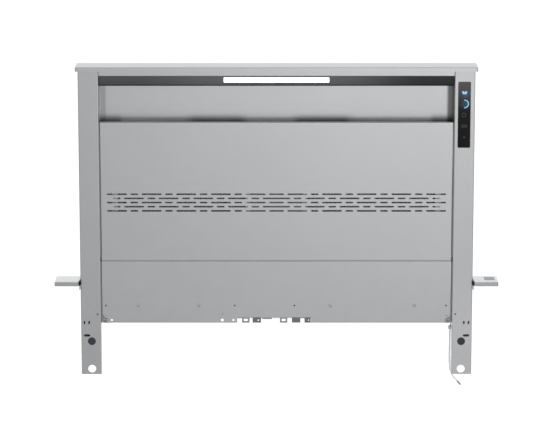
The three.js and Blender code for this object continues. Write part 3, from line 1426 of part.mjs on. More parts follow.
function buttonSwitch() {
  const half = SWITCH_SIZE / 2;
  const plungerTop = BUTTON_UNDER_Z - BUTTON_TRAVEL - SEAT_GAP;
  const board = block(
    [BUTTON_X - BUTTON_WIDTH / 2, BUTTON_X + BUTTON_WIDTH / 2],
    [BUTTON_BACK - BUTTON_DEPTH / 2, BUTTON_BACK + BUTTON_DEPTH / 2],
    [SWITCH_BOARD_Z, SWITCH_BOARD_TOP],
  );
  const body = block(
    [BUTTON_X - half, BUTTON_X + half],
    [BUTTON_BACK - half, BUTTON_BACK + half],
    [SWITCH_BOARD_Z, plungerTop - PLUNGER_RISE],
  );
  const outline = circle(BUTTON_X, BUTTON_BACK, PLUNGER_RADIUS, 12);
  const plunger = prism(outline, "z", SWITCH_BOARD_TOP, plungerTop);
  return join(board, body, plunger);
}

// The coil that returns the button, round the switch.
function buttonSpring() {
  const low = SWITCH_BOARD_TOP + SPRING_WIRE_RADIUS + SEAT_GAP;
  const high = BUTTON_UNDER_Z - SPRING_WIRE_RADIUS - SEAT_GAP;
  const points = [];
  const count = 30;
  for (let k = 0; k <= count; k++) {
    const angle = (k / count) * SPRING_TURNS * Math.PI * 2;
    points.push(
      v3(
        BUTTON_X + SPRING_RADIUS * Math.cos(angle),
        BUTTON_BACK + SPRING_RADIUS * Math.sin(angle),
        low + ((high - low) * k) / count,
      ),
    );
  }
  return cable(points, count, SPRING_WIRE_RADIUS, 5);
}

// The key itself, made about its own centre on the countertop plane.
function liftButton() {
  const key = prism(
    roundedRectangle(
      [-BUTTON_WIDTH / 2, BUTTON_WIDTH / 2],
      [-BUTTON_DEPTH / 2, BUTTON_DEPTH / 2],
      BUTTON_RADIUS,
    ),
    "z",
    BUTTON_UNDER_Z,
    TRIM_HEIGHT + BUTTON_PROUD,
  );
  const flange = block(
    [-BUTTON_WIDTH / 2 - BUTTON_FLANGE, BUTTON_WIDTH / 2 + BUTTON_FLANGE],
    [-BUTTON_DEPTH / 2 - BUTTON_FLANGE, BUTTON_DEPTH / 2 + BUTTON_FLANGE],
    [BUTTON_UNDER_Z, BUTTON_UNDER_Z + BUTTON_FLANGE],
  );
  return join(key, flange);
}

// ---------------------------------------------------------------- assembly
const vent = new THREE.Group();
const counterFrame = new THREE.Group();
const riser = new THREE.Group();
const hingedPanel = new THREE.Group();
const button = new THREE.Group();
vent.add(counterFrame, riser);
riser.add(hingedPanel);
counterFrame.add(button);

hingedPanel.position.set(0, HINGE_Y, HINGE_Z);
hingedPanel.add(mesh("access_panel", accessPanel(), stainless));

button.position.set(BUTTON_X, BUTTON_BACK, 0);
button.add(mesh("lift_button", liftButton(), greyPlastic));

for (const [side, name] of [
  [-1, "left"],
  [1, "right"],
]) {
  riser.add(
    mesh(`${name}_post`, post(side), stainless),
    mesh(`${name}_hole_plug`, holePlug(side), blackPlastic),
    mesh(`${name}_lower_shoe`, lowerShoe(side), blackPlastic),
    mesh(`${name}_hinge_pin`, hingePin(side), zincSteel),
    mesh(`${name}_catch_magnet`, catchMagnet(side), blackPlastic),
    mesh(`${name}_filter_channel`, filterChannel(side), zincSteel),
    mesh(`${name}_filter_frame`, filterFrame(side), aluminium),
    mesh(`${name}_filter_mesh`, filterMesh(side), aluminium),
    mesh(`${name}_filter_pull`, filterPull(side), zincSteel),
  );
  const railScrew = mesh(
    `${name}_rail_screw`,
    screw(BASE_PLATE + RAIL_SHEET + SEAT_GAP, SMALL_SCREW_RADIUS, SMALL_SCREW_HEAD_RADIUS),
    zincSteel,
  );
  railScrew.rotation.x = -Math.PI / 2;
  railScrew.position.set(
    side * RAIL_SCREW_X,
    RAIL_SCREW_Y,
    BASE_PLATE + 2 * SEAT_GAP + RAIL_SHEET,
  );
  counterFrame.add(
    mesh(`${name}_end_trim`, endTrim(side), capSteel),
    mesh(`${name}_trim_base`, trimBase(side), zincSteel),
    mesh(`${name}_front_guide`, frontGuide(side), blackPlastic),
    mesh(`${name}_rear_guide`, rearGuide(side), blackPlastic),
    railScrew,
  );
}

riser.add(
  mesh("top_cap", topCap(), capSteel),
  mesh("header_strip", headerStrip(), stainless),
  mesh("light_housing", lightHousing(), zincSteel),
  mesh("light_diffuser", lightDiffuser(), opalPlastic),
  mesh("led_board", ledBoard(), boardGreen),
  mesh("rear_panel", rearPanel(), stainless),
  mesh("lower_panel", lowerPanel(), stainless),
  mesh("lower_stiffener", lowerStiffener(), zincSteel),
  mesh("centre_mullion", centreMullion(), zincSteel),
  mesh("filter_rail_top", filterRail(1), zincSteel),
  mesh("filter_rail_bottom", filterRail(-1), zincSteel),
  mesh("lift_bracket", liftBracket(), zincSteel),
  mesh("control_glass", controlPlate(), controlGlass),
  mesh("control_box", controlBox(), blackPlastic),
  mesh("control_board", controlBoard(), boardGreen),
  mesh("control_lead", controlLead(), greyCable),
  mesh("lead_clip", leadClip(), greyPlastic),
  mesh("lead_tail", leadTail(), greyCable),
  mesh("lead_connector", leadConnector(), blackPlastic),
);
CLIPS.forEach((clip, k) => riser.add(mesh(`spring_clip_${k + 1}`, springClip(clip), springSteel)));
LOWER_SCREWS.forEach((x, k) => {
  const placed = mesh(`lower_screw_${k + 1}`, screw(6), zincSteel);
  placed.position.set(x, FRONT - SEAT_GAP, SCREW_Z);
  riser.add(placed);
});

counterFrame.add(
  mesh("rear_rail", rearRail(), zincSteel),
  mesh("button_frame", buttonFrame(), blackPlastic),
  mesh("button_switch", buttonSwitch(), boardGreen),
  mesh("button_spring", buttonSpring(), springSteel),
);

export default vent;
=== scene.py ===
"""A countertop downdraft vent with its riser fully up, dressed around its construction model.

Metres, +Z up, the cook in front at -Y. z = 0 is the countertop, and the riser slides through it.
Each piece takes its place from the model's own nodes and rides on the body that carries it.
"""

import json
import math
from functools import partial

import bmesh
import bpy
from mathutils import Matrix, Vector

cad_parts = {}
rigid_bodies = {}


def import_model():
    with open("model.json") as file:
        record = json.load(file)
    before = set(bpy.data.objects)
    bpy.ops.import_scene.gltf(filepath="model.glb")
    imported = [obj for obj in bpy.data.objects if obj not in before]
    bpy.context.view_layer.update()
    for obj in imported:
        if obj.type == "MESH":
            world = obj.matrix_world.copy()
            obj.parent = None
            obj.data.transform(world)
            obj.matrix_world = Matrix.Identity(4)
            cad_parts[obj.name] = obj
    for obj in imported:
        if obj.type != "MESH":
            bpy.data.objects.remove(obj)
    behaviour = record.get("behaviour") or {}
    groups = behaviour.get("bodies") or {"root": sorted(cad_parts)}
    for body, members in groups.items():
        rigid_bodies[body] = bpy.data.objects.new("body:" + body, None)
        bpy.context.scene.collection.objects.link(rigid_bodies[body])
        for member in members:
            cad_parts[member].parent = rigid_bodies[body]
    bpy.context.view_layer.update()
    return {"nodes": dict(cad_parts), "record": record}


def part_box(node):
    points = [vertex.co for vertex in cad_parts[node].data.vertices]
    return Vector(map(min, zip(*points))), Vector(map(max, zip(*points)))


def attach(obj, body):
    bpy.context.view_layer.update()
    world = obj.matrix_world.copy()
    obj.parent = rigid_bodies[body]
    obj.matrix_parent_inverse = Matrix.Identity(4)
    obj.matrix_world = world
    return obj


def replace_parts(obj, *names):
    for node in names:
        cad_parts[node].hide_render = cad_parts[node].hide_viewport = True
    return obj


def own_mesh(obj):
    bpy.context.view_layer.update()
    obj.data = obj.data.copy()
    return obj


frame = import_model()

bl_info = {
    "name": "Downdraft Vent",
    "version": (1, 0, 0),
    "blender": (4, 5, 0),
    "location": "3D View > Sidebar > Vent",
    "description": "Builds the finished surfaces of a countertop downdraft vent",
    "category": "Add Mesh",
}

# ---------------------------------------------------------------- what the frame says
BODY_OF = {node: body for body, nodes in frame["record"]["behaviour"]["bodies"].items() for node in nodes}
SLOT_OF = {row["node"]: row["material_slot"] for row in frame["record"]["subparts"]}
POST_LOW, POST_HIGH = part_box("right_post")
GLASS_LOW, GLASS_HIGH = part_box("control_glass")
LENS_LOW, LENS_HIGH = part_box("light_diffuser")

MM = 0.001  # a millimetre, in metres
WELD = 1e-6
FLAT = math.radians(0.1)  # faces that differ by less lie in one plane
SHARP = math.radians(35)  # edges that turn by more stay sharp
MOSTLY = 0.7  # part of a normal that counts as looking one way
UPWARDS = 0.1  # a face's normal along Z, above which it looks up at all
BACKWARDS = -0.3  # a face's normal along Y, above which it isn't part of a front
SIGNS = {"left": -1, "right": 1}


# ---------------------------------------------------------------- settings
COLOUR = {"subtype": "COLOR", "min": 0.0, "max": 1.0}


class VentView(bpy.types.PropertyGroup):
    """Where the camera stands."""

    distance: bpy.props.FloatProperty(
        name="Distance",
        description="From the camera to the front of the riser",
        default=6.0,
        unit="LENGTH",
    )
    height: bpy.props.FloatProperty(
        name="Height",
        description="Camera above the countertop",
        default=1.4728,
        unit="LENGTH",
    )
    tilt: bpy.props.FloatProperty(
        name="Tilt",
        description="How far the camera looks down",
        default=math.radians(12.615),
        subtype="ANGLE",
    )
    lens: bpy.props.FloatProperty(
        name="Lens",
        description="Focal length on a 36 mm wide sensor",
        default=195.48,
        subtype="DISTANCE_CAMERA",
    )


class VentFinishes(bpy.types.PropertyGroup):
    """Colours and gloss of the vent's materials."""

    steel: bpy.props.FloatVectorProperty(
        name="Stainless steel",
        description="Colour of the brushed panels and posts",
        default=(0.255, 0.259, 0.265),
        **COLOUR,
    )
    # Lighter than the steel: on the upward faces of the cap and the hem it is painted light
    cap_steel: bpy.props.FloatVectorProperty(
        name="Cap steel",
        description="Colour of the cap and the end trims",
        default=(0.360, 0.361, 0.363),
        **COLOUR,
    )
    # Lighter than the trims' walls: painted light on their upper faces
    trim_top: bpy.props.FloatVectorProperty(
        name="Trim top",
        description="Colour of the upper faces of the end trims",
        default=(0.46, 0.461, 0.463),
        **COLOUR,
    )
    # The housing's dark colour is painted shade, for the dark inside that its sheet reflects
    housing: bpy.props.FloatVectorProperty(
        name="Light housing",
        description="Colour of the sheet round the light",
        default=(0.095, 0.097, 0.100),
        **COLOUR,
    )
    # Lighter than the steel: the mill surface, and a painted highlight on folded edges
    inner: bpy.props.FloatVectorProperty(
        name="Folded edges",
        description="Colour of the steel on folded edges and inner faces",
        default=(0.62, 0.625, 0.63),
        **COLOUR,
    )
    zinc: bpy.props.FloatVectorProperty(
        name="Zinc plate",
        description="Colour of the plated inner steel",
        default=(0.20, 0.205, 0.21),
        **COLOUR,
    )
    gloss: bpy.props.FloatProperty(
        name="Steel roughness",
        description="Roughness of the brushed steel between its strokes",
        default=0.36,
        min=0.05,
        max=1.0,
    )
    cable: bpy.props.FloatVectorProperty(
        name="Cable jacket",
        description="Colour of the control lead",
        default=(0.52, 0.52, 0.53),
        **COLOUR,
    )


class VentDetails(bpy.types.PropertyGroup):
    """Small sizes of the finished surfaces."""

    deburr: bpy.props.FloatProperty(
        name="Cut edge",
        description="Rounding of the cut edges of the sheets",
        default=0.15 * MM,
        unit="LENGTH",
    )
    moulding: bpy.props.FloatProperty(
        name="Moulded edge",
        description="Rounding of the edges of plastic pieces",
        default=0.3 * MM,
        unit="LENGTH",
    )
    lead_diameter: bpy.props.FloatProperty(
        name="Lead",
        description="Outer diameter of the control lead",
        default=3.0 * MM,
        unit="LENGTH",
    )
    lamp_power: bpy.props.FloatProperty(
        name="Lamp",
        description="Brightness of the light bar's lens",
        default=2.6,
        min=0.0,
    )


class VentStudio(bpy.types.PropertyGroup):
    """The plain studio round the vent."""

    floor_drop: bpy.props.FloatProperty(
        name="Floor",
        description="Floor below the countertop level, clear of the lowered riser",
        default=0.66,
        unit="LENGTH",
    )
    sky: bpy.props.FloatProperty(
        name="Sky",
        description="Brightness in front, low down",
        default=1.0,
        min=0.0,
    )
    back: bpy.props.FloatProperty(
        name="Back",
        description="Extra brightness behind the vent",
        default=0.3,
        min=0.0,
    )
    overhead: bpy.props.FloatProperty(
        name="Overhead",
        description="Extra brightness overhead",
        default=0.5,
        min=0.0,
    )
    right: bpy.props.FloatProperty(
        name="Right",
        description="Extra brightness in front, on the right",
        default=0.5,
        min=0.0,
    )
    key: bpy.props.FloatProperty(
        name="Key",
        description="Power of the soft light in front, to the right",
        default=35.0,
        unit="POWER",
    )
    floor: bpy.props.FloatVectorProperty(
        name="Floor colour",
        description="Colour of the plain floor",
        default=(0.70, 0.70, 0.70),
        **COLOUR,
    )


# ---------------------------------------------------------------- shader maths
class Socket:
    """A node's output. Python's operators on it add Math nodes, so maths reads as an expression."""

    def __init__(self, tree, output):
        self.tree = tree
        self.output = output

    def _maths(self, operation, first, second):
        return self.tree.node("ShaderNodeMath", {"operation": operation}, {0: first, 1: second})

    def __add__(self, other):
        return self._maths("ADD", self, other)

    def __radd__(self, other):
        return self._maths("ADD", other, self)

    def __sub__(self, other):
        return self._maths("SUBTRACT", self, other)

    def __rsub__(self, other):
        return self._maths("SUBTRACT", other, self)

    def __mul__(self, other):
        return self._maths("MULTIPLY", self, other)

    def __rmul__(self, other):
        return self._maths("MULTIPLY", other, self)

    def __truediv__(self, other):
        return self._maths("DIVIDE", self, other)

    def __rtruediv__(self, other):
        return self._maths("DIVIDE", other, self)


class NodeTree:
    """The nodes of a material or of the world."""

    def __init__(self, owner):
        owner.use_nodes = True
        self.nodes = owner.node_tree.nodes
        self.links = owner.node_tree.links

    def feed(self, socket, value):
        if isinstance(value, Socket):
            self.links.new(value.output, socket)
        else:
            socket.default_value = value

    def node(self, kind, settings=None, sockets=None, result=0):
        """Adds any node: its type, its settings, then the values or links of its sockets."""
        made = self.nodes.new(kind)
        for name, value in (settings or {}).items():
            setattr(made, name, value)
        for key, value in (sockets or {}).items():
            self.feed(made.inputs[key], value)
        return Socket(self, made.outputs[result])

    def place(self):
        return self.node("ShaderNodeTexCoord", result="Object")

    def scaled(self, place, factors):
        return self.node("ShaderNodeVectorMath", {"operation": "MULTIPLY"}, {0: place, 1: factors})

    def distance(self, place, point):
        return self.node("ShaderNodeVectorMath", {"operation": "DISTANCE"}, {0: place, 1: point}, "Value")

    def axis(self, place, name):
        return self.node("ShaderNodeSeparateXYZ", None, {0: place}, name)

    def noise(self, place, scale=1.0, detail=2.0, roughness=0.5):
        sockets = {"Vector": place, "Scale": scale, "Detail": detail, "Roughness": roughness}
        return self.node("ShaderNodeTexNoise", None, sockets)

    def only(self, operation, value, other=0.0):
        return self.node("ShaderNodeMath", {"operation": operation}, {0: value, 1: other})

    def mix(self, factor, first, second):
        colours = [c if isinstance(c, Socket) else (*c, 1.0) for c in (first, second)]
        sockets = {0: factor, 6: colours[0], 7: colours[1]}
        return self.node("ShaderNodeMix", {"data_type": "RGBA"}, sockets, 2)

    def ramp(self, value, low, high):
        """0 below low, 1 above high, and smooth between them."""
        settings = {"interpolation_type": "SMOOTHSTEP"}
        sockets = {"Value": value, "From Min": low, "From Max": high}
        return self.node("ShaderNodeMapRange", settings, sockets)

    def bump(self, height, depth, strength=1.0):
        sockets = {"Height": height, "Distance": depth, "Strength": strength}
        return self.node("ShaderNodeBump", None, sockets, "Normal")


class Finish(NodeTree):
    """A material in the making: its nodes, and the Principled shader that they feed."""

    def __init__(self, name, constants):
        self.material = bpy.data.materials.new(name)
        super().__init__(self.material)
        self.shader = self.nodes["Principled BSDF"]
        self.shade(constants)

    def shade(self, values):
        """Sets or feeds sockets of the Principled shader by name, and gives the material."""
        for name, value in values.items():
            if name.endswith("Color") and not isinstance(value, Socket):
                value = (*value, 1.0)
            self.feed(self.shader.inputs[name], value)
        return self.material


def dimmed(colour, share):
    return tuple(channel * share for channel in colour)


# ---------------------------------------------------------------- finishes
BLACK = (0.0, 0.0, 0.0)
STROKE = 2600.0  # brush strokes to the metre across the grain
STROKE_RUN = 9.0  # and along it
STROKE_DEPTH = 0.004 * MM


def brushed_steel(name, colour, roughness, along, share_of=None):
    """Satin stainless sheet: fine strokes along one axis and faint clouds, with painted light and shade
    where share_of says.
    """
    finish = Finish(name, {"Metallic": 1.0})
    place = finish.place()
    run = tuple(STROKE_RUN if axis == along else STROKE for axis in "XYZ")
    strokes = finish.noise(finish.scaled(place, run), detail=3.0, roughness=0.6)
    cloud = finish.noise(place, 38.0, 4.0, 0.6)
    wide = finish.noise(place, 5.0, 2.0)
    tone = 0.35 * strokes + 0.4 * cloud + 0.25 * wide
    sheet = finish.mix(tone, dimmed(colour, 0.90), dimmed(colour, 1.10))
    if share_of:
        sheet = finish.mix(share_of(finish, place), BLACK, sheet)
    return finish.shade(
        {
            "Base Color": sheet,
            "Roughness": roughness - 0.06 + 0.08 * strokes + 0.06 * cloud,
            "Normal": finish.bump(strokes, STROKE_DEPTH, 0.6),
        }
    )


def brushed(name, colour, share=1.0, rougher=0.0, along="X", share_of=None):
    """Brushed sheet in a share of one of the colours in the settings."""
    chosen = bpy.context.scene.vent_finishes
    tone = dimmed(getattr(chosen, colour), share)
    return brushed_steel(name, tone, chosen.gloss + rougher, along, share_of)


POST_LIFT = 1.2  # the most that a post's colour may be lifted by painted light
RIGHT_FOOT = (-120 * MM, 80 * MM)  # heights between which the painted light on the right post's foot fades
# painted light on the right foot, as a share of the colour
RIGHT_FOOT_PAINTED_LIGHT = 0.14


def post_painted_light(finish, place):
    """The share of its colour that a post shows: painted light makes the right foot a little brighter
    than the rest.
    """
    right = finish.ramp(finish.axis(place, "X"), 0.0, POST_LOW.x)
    low = 1.0 - finish.ramp(finish.axis(place, "Z"), *RIGHT_FOOT)
    return (1.0 + RIGHT_FOOT_PAINTED_LIGHT * right * low) / POST_LIFT


def mill_steel_painted_highlight():
    """Folded edges and inner faces: the sheet's bright mill surface, and a painted highlight along folded
    edges.
    """
    return brushed_steel("Mill-bright stainless", bpy.context.scene.vent_finishes.inner, 0.3, "X")


LENS_PAINTED_LIGHT_REACH = 200 * MM  # how far the painted light of the lens lightens the sheet beside it
LENS_PAINTED_LIGHT_SHARE = 0.85
BAND_LEFT = 0.78  # the housing's colour, as a share, at its left end, its right end and beside the lens: painted shade deepening to the right, and painted light from the lens
BAND_RIGHT = 0.36
BAND_PAINTED_LENS_LIGHT = 1.25
HOUSING_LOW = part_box("light_housing")[0].z
HOUSING_EDGE = (HOUSING_LOW + 1.0 * MM, HOUSING_LOW + 4.0 * MM)  # fades from black


def housing_painted_shade():
    """Satin sheet round the light, darkened by painted shade that deepens towards the right, with painted
    light from the lens beside it and a black lower edge.
    """
    colour = bpy.context.scene.vent_finishes.housing
    finish = Finish("Dark satin steel", {"Metallic": 1.0})
    place = finish.place()
    strokes = finish.noise(finish.scaled(place, (STROKE_RUN, STROKE, STROKE)), detail=3.0, roughness=0.6)
    x = finish.axis(place, "X")
    beside = finish.only("ABSOLUTE", x) - LENS_HIGH.x
    painted_lens_light = LENS_PAINTED_LIGHT_SHARE - LENS_PAINTED_LIGHT_SHARE * finish.ramp(beside, 0.0, LENS_PAINTED_LIGHT_REACH)
    across = finish.ramp(x, -POST_LOW.x, POST_LOW.x)
    plain = finish.mix(across, dimmed(colour, BAND_LEFT), dimmed(colour, BAND_RIGHT))
    tone = finish.mix(painted_lens_light, plain, dimmed(colour, BAND_PAINTED_LENS_LIGHT))
    edge = finish.ramp(finish.axis(place, "Z"), *HOUSING_EDGE)
    return finish.shade(
        {
            "Base Color": finish.mix(edge, (0.008, 0.008, 0.009), tone),
            "Roughness": 0.24 + 0.10 * strokes,
            "Normal": finish.bump(strokes, STROKE_DEPTH, 0.6),
        }
    )


WALL_LIFT = 2.5  # the most that the wall's colour is lifted by painted light, in its foot
FOOT_MIDDLE = -14 * MM
STRETCH_MIDDLE = 108 * MM  # of each stretch of painted shade along the foot, from there
STRETCH_EDGE = (42 * MM, 70 * MM)  # where a stretch fades, from its middle
OUTER_EDGE = (312 * MM, 324 * MM)  # where the painted shade at the ends of the foot begins
FOOT_LOW = 337 * MM
FOOT_HIGH = 345 * MM
FOOT_FADE = 357 * MM
LEFT_END = (-352 * MM, -347 * MM)  # where the painted shade begins on the wall beside the posts
RIGHT_END = (346 * MM, 353 * MM)
# Shares of the colour: the painted light that the foot's middle gains, and the painted shade that the
# foot's stretches, the ends and the right lose.
FOOT_PAINTED_LIGHT_GAIN = 1.5
FOOT_SHADE_LOSS = 0.30
LEFT_LOSS = 0.3
RIGHT_LOSS = 0.75
ACROSS_LOSS = 0.12


def wall_painted_light_and_shade(finish, place):
    """The share of its colour that the wall shows: painted shade beside the posts, in stretches of its
    foot and towards the right, and painted light in the middle of its foot.
    """
    x = finish.axis(place, "X")
    z = finish.axis(place, "Z")
    from_middle = finish.only("ABSOLUTE", x - FOOT_MIDDLE)
    from_stretch = finish.only("ABSOLUTE", from_middle - STRETCH_MIDDLE)
    outer = finish.ramp(finish.only("ABSOLUTE", x), *OUTER_EDGE)
    painted_shade_mask = 1.0 - finish.ramp(from_stretch, *STRETCH_EDGE) + outer
    foot = finish.ramp(z, FOOT_LOW, FOOT_HIGH)
    lift = FOOT_PAINTED_LIGHT_GAIN * (1.0 - painted_shade_mask) * (1.0 - foot)
    painted_foot_shade = FOOT_SHADE_LOSS * painted_shade_mask * foot * (1.0 - finish.ramp(z, FOOT_HIGH, FOOT_FADE))
    left_end = LEFT_LOSS * (1.0 - finish.ramp(x, *LEFT_END))
    right_end = RIGHT_LOSS * finish.ramp(x, *RIGHT_END)
    across = ACROSS_LOSS * finish.ramp(x, -POST_LOW.x, POST_LOW.x)
    return (1.06 + lift - painted_foot_shade - across) * (1.0 - left_end - right_end) / WALL_LIFT


def wall_steel():
    """The back wall of the window, with painted shade at its ends and along its foot, and painted light
    in the middle of its foot.
    """
    colour = dimmed(bpy.context.scene.vent_finishes.steel, 0.95 * WALL_LIFT)
    return brushed_steel("Bright rolled stainless", colour, 0.33, "X", wall_painted_light_and_shade)


def zinc_plate():
    """Zinc-plated sheet: faint crystals a few millimetres across."""
    colour = bpy.context.scene.vent_finishes.zinc
    finish = Finish("Zinc plate", {"Metallic": 1.0})
    place = finish.place()
    cells = finish.node("ShaderNodeTexVoronoi", None, {"Vector": place, "Scale": 240.0}, "Color")
    crystal = finish.node("ShaderNodeSeparateColor", None, {0: cells})
    dust = finish.noise(place, 900.0, 3.0)
    spangle = 0.6 * crystal + 0.4 * dust
    return finish.shade(
        {
            "Base Color": finish.mix(spangle, dimmed(colour, 0.86), dimmed(colour, 1.12)),
            "Roughness": 0.40 + 0.14 * crystal + 0.06 * dust,
            "Normal": finish.bump(dust, 0.006 * MM, 0.5),
        }
    )


def spring_steel():
    """Dark tempered strip with a blue-brown cast."""
    finish = Finish("Spring steel", {"Metallic": 1.0})
    place = finish.place()
    cast = finish.noise(place, 120.0, 2.0)
    grain = finish.noise(finish.scaled(place, (STROKE, 200.0, 200.0)), detail=2.0)
    return finish.shade(
        {
            "Base Color": finish.mix(cast, (0.075, 0.080, 0.095), (0.14, 0.125, 0.115)),
            "Roughness": 0.26 + 0.12 * grain,
            "Normal": finish.bump(grain, 0.003 * MM, 0.5),
        }
    )


def aluminium():
    """Mill-finish extrusion: long faint draw lines."""
    finish = Finish("Mill aluminium", {"Metallic": 1.0})
    place = finish.place()
    drawn = finish.noise(finish.scaled(place, (900.0, 900.0, 14.0)), detail=3.0)
    return finish.shade(
        {
            "Base Color": finish.mix(drawn, (0.50, 0.51, 0.52), (0.62, 0.63, 0.64)),
            "Roughness": 0.34 + 0.16 * drawn,
            "Normal": finish.bump(drawn, 0.005 * MM, 0.6),
        }
    )


MESH_PITCH = 3.4 * MM  # diamonds of the grease mesh, across and upwards
MESH_RISE = 2.2 * MM
STRAND = (0.26, 0.38)  # where a strand begins, in parts of the pitch from the middle of a diamond


def expanded_mesh():
    """Expanded aluminium mesh: crossed strands, with the diamonds between them painted near-black as the
    shade seen through the openings.
    """
    finish = Finish("Expanded aluminium mesh", {"Metallic": 1.0})
    place = finish.place()
    across = finish.axis(place, "X") / MESH_PITCH
    upwards = finish.axis(place, "Z") / MESH_RISE
    lines = []
    for crossing in (across + upwards, across - upwards):
        turn = finish.only("FRACT", crossing)
        lines.append(finish.only("ABSOLUTE", turn - 0.5))
    strand = finish.ramp(finish.only("MAXIMUM", *lines), *STRAND)
    sheen = finish.noise(place, 700.0, 2.0)
    metal = finish.mix(sheen, (0.42, 0.43, 0.44), (0.62, 0.63, 0.64))
    return finish.shade(
        {
            # the diamonds are painted shade, for the dark seen through the mesh's openings
            "Base Color": finish.mix(strand, (0.02, 0.02, 0.022), metal),
            "Roughness": 0.75 - 0.38 * strand,
            "Normal": finish.bump(strand, 0.5 * MM, 1.0),
        }
    )


def moulded(name, colour, roughness, shine=0.5, grain=1500.0):
    """Injection-moulded plastic with a fine spark-eroded grain."""
    finish = Finish(name, {"Specular IOR Level": shine})
    place = finish.place()
    pits = finish.noise(place, grain, 3.0, 0.6)
    flow = finish.noise(place, 60.0, 2.0)
    return finish.shade(
        {
            "Base Color": finish.mix(flow, dimmed(colour, 0.88), dimmed(colour, 1.12)),
            "Roughness": roughness - 0.05 + 0.1 * pits,
            "Normal": finish.bump(pits, 0.03 * MM, 0.5),
        }
    )


def felt():
    """Grey felt: short fibres that lie every way."""
    finish = Finish("Grey felt", {"Specular IOR Level": 0.1})
    place = finish.place()
    fibres = finish.noise(place, 2200.0, 4.0, 0.75)
    return finish.shade(
        {
            "Base Color": finish.mix(fibres, (0.12, 0.12, 0.122), (0.30, 0.30, 0.305)),
            "Roughness": 0.85 + 0.1 * fibres,
            "Normal": finish.bump(fibres, 0.15 * MM, 0.8),
        }
    )


def cable_jacket():
    return moulded("Cable jacket", bpy.context.scene.vent_finishes.cable, 0.5, grain=800.0)


SYMBOL_X = (GLASS_LOW.x + GLASS_HIGH.x) / 2 + 0.3 * MM
SYMBOL_PITCH = 23 * MM
FIRST_SYMBOL_Z = GLASS_HIGH.z - 22.2 * MM
SYMBOL_Z = [FIRST_SYMBOL_Z - k * SYMBOL_PITCH for k in range(5)]
GLOW_BLUE = (0.004, 0.045, 0.095)
GLOWS = (  # height and reach of the glow round each lit symbol
    (SYMBOL_Z[0] - 3 * MM, 11 * MM),
    (SYMBOL_Z[1], 13 * MM),
)


def control_glass():
    """Smoked back-printed glass, hazier towards its top; the lit symbols bleed a little light into it."""
    finish = Finish("Smoked control glass", {"Specular IOR Level": 0.05, "Emission Strength": 1.0})
    place = finish.place()
    height = finish.axis(place, "Z")
    smear = finish.noise(place, 45.0, 3.0, 0.6)
    haze = finish.ramp(height, SYMBOL_Z[2], GLASS_HIGH.z + 6 * MM)
    halo = 0.0
    for z, reach in GLOWS:
        away = finish.distance(place, (SYMBOL_X + 2 * MM, GLASS_LOW.y, z))
        halo = halo + (1.0 - finish.ramp(away, 1.0 * MM, reach))
    return finish.shade(
        {
            "Base Color": finish.mix(haze + 0.06 * smear, (0.0015, 0.001, 0.001), (0.052, 0.052, 0.054)),
            "Roughness": 0.10 + 0.10 * smear,
            "Emission Color": finish.mix(halo, (0.0, 0.0, 0.0), GLOW_BLUE),
        }
    )


def lit_symbol(name, colour, strength):
    """Back-lit print: an even field, a shade dimmer where the light guide ends."""
    constants = {"Roughness": 0.3, "Specular IOR Level": 0.05, "Emission Strength": strength}
    finish = Finish(name, constants)
    fade = finish.noise(finish.place(), 160.0, 1.0)
    return finish.shade(
        {
            "Base Color": dimmed(colour, 0.03),
            "Emission Color": finish.mix(fade, dimmed(colour, 0.85), colour),
        }
    )


LENS_WINDOW = 0.36  # half the lit height of the lens, as a part of its height
LENS_FADE = 0.2 * MM
LENS_RIM = (-1.0 * MM, 5.0 * MM)  # dims towards its ends


def opal_lens():
    """Opal lens of the light bar, lit from behind, with a black printed border above and below."""
    power = bpy.context.scene.vent_details.lamp_power
    finish = Finish("Opal lens", {"Roughness": 0.4, "Emission Strength": power})
    place = finish.place()
    middle = LENS_LOW.lerp(LENS_HIGH, 0.5)
    off_centre = finish.only("ABSOLUTE", finish.axis(place, "Z") - middle.z)
    window = LENS_WINDOW * (LENS_HIGH.z - LENS_LOW.z)
    border = finish.ramp(off_centre, window - LENS_FADE, window + LENS_FADE)
    from_end = LENS_HIGH.x - finish.only("ABSOLUTE", finish.axis(place, "X"))
    rim = finish.ramp(from_end, *LENS_RIM)
    light = finish.mix(rim, (0.75, 0.76, 0.78), (1.0, 1.0, 1.0))
    light = finish.mix(border, light, (0.006, 0.006, 0.007))
    return finish.shade({"Base Color": light, "Emission Color": light})


def circuit_board():
    """Green solder mask over copper tracks."""
    finish = Finish("Circuit board", {"Metallic": 0.0})
    place = finish.place()
    sockets = {"Vector": place, "Scale": 260.0, "Mortar Size": 0.05}
    tracks = finish.node("ShaderNodeTexBrick", None, sockets, "Fac")
    flux = finish.noise(place, 300.0, 2.0)
    return finish.shade(
        {
            "Base Color": finish.mix(tracks, (0.012, 0.085, 0.035), (0.05, 0.20, 0.09)),
            "Roughness": 0.32 + 0.15 * flux,
            "Normal": finish.bump(tracks, 0.03 * MM, 0.6),
        }
    )


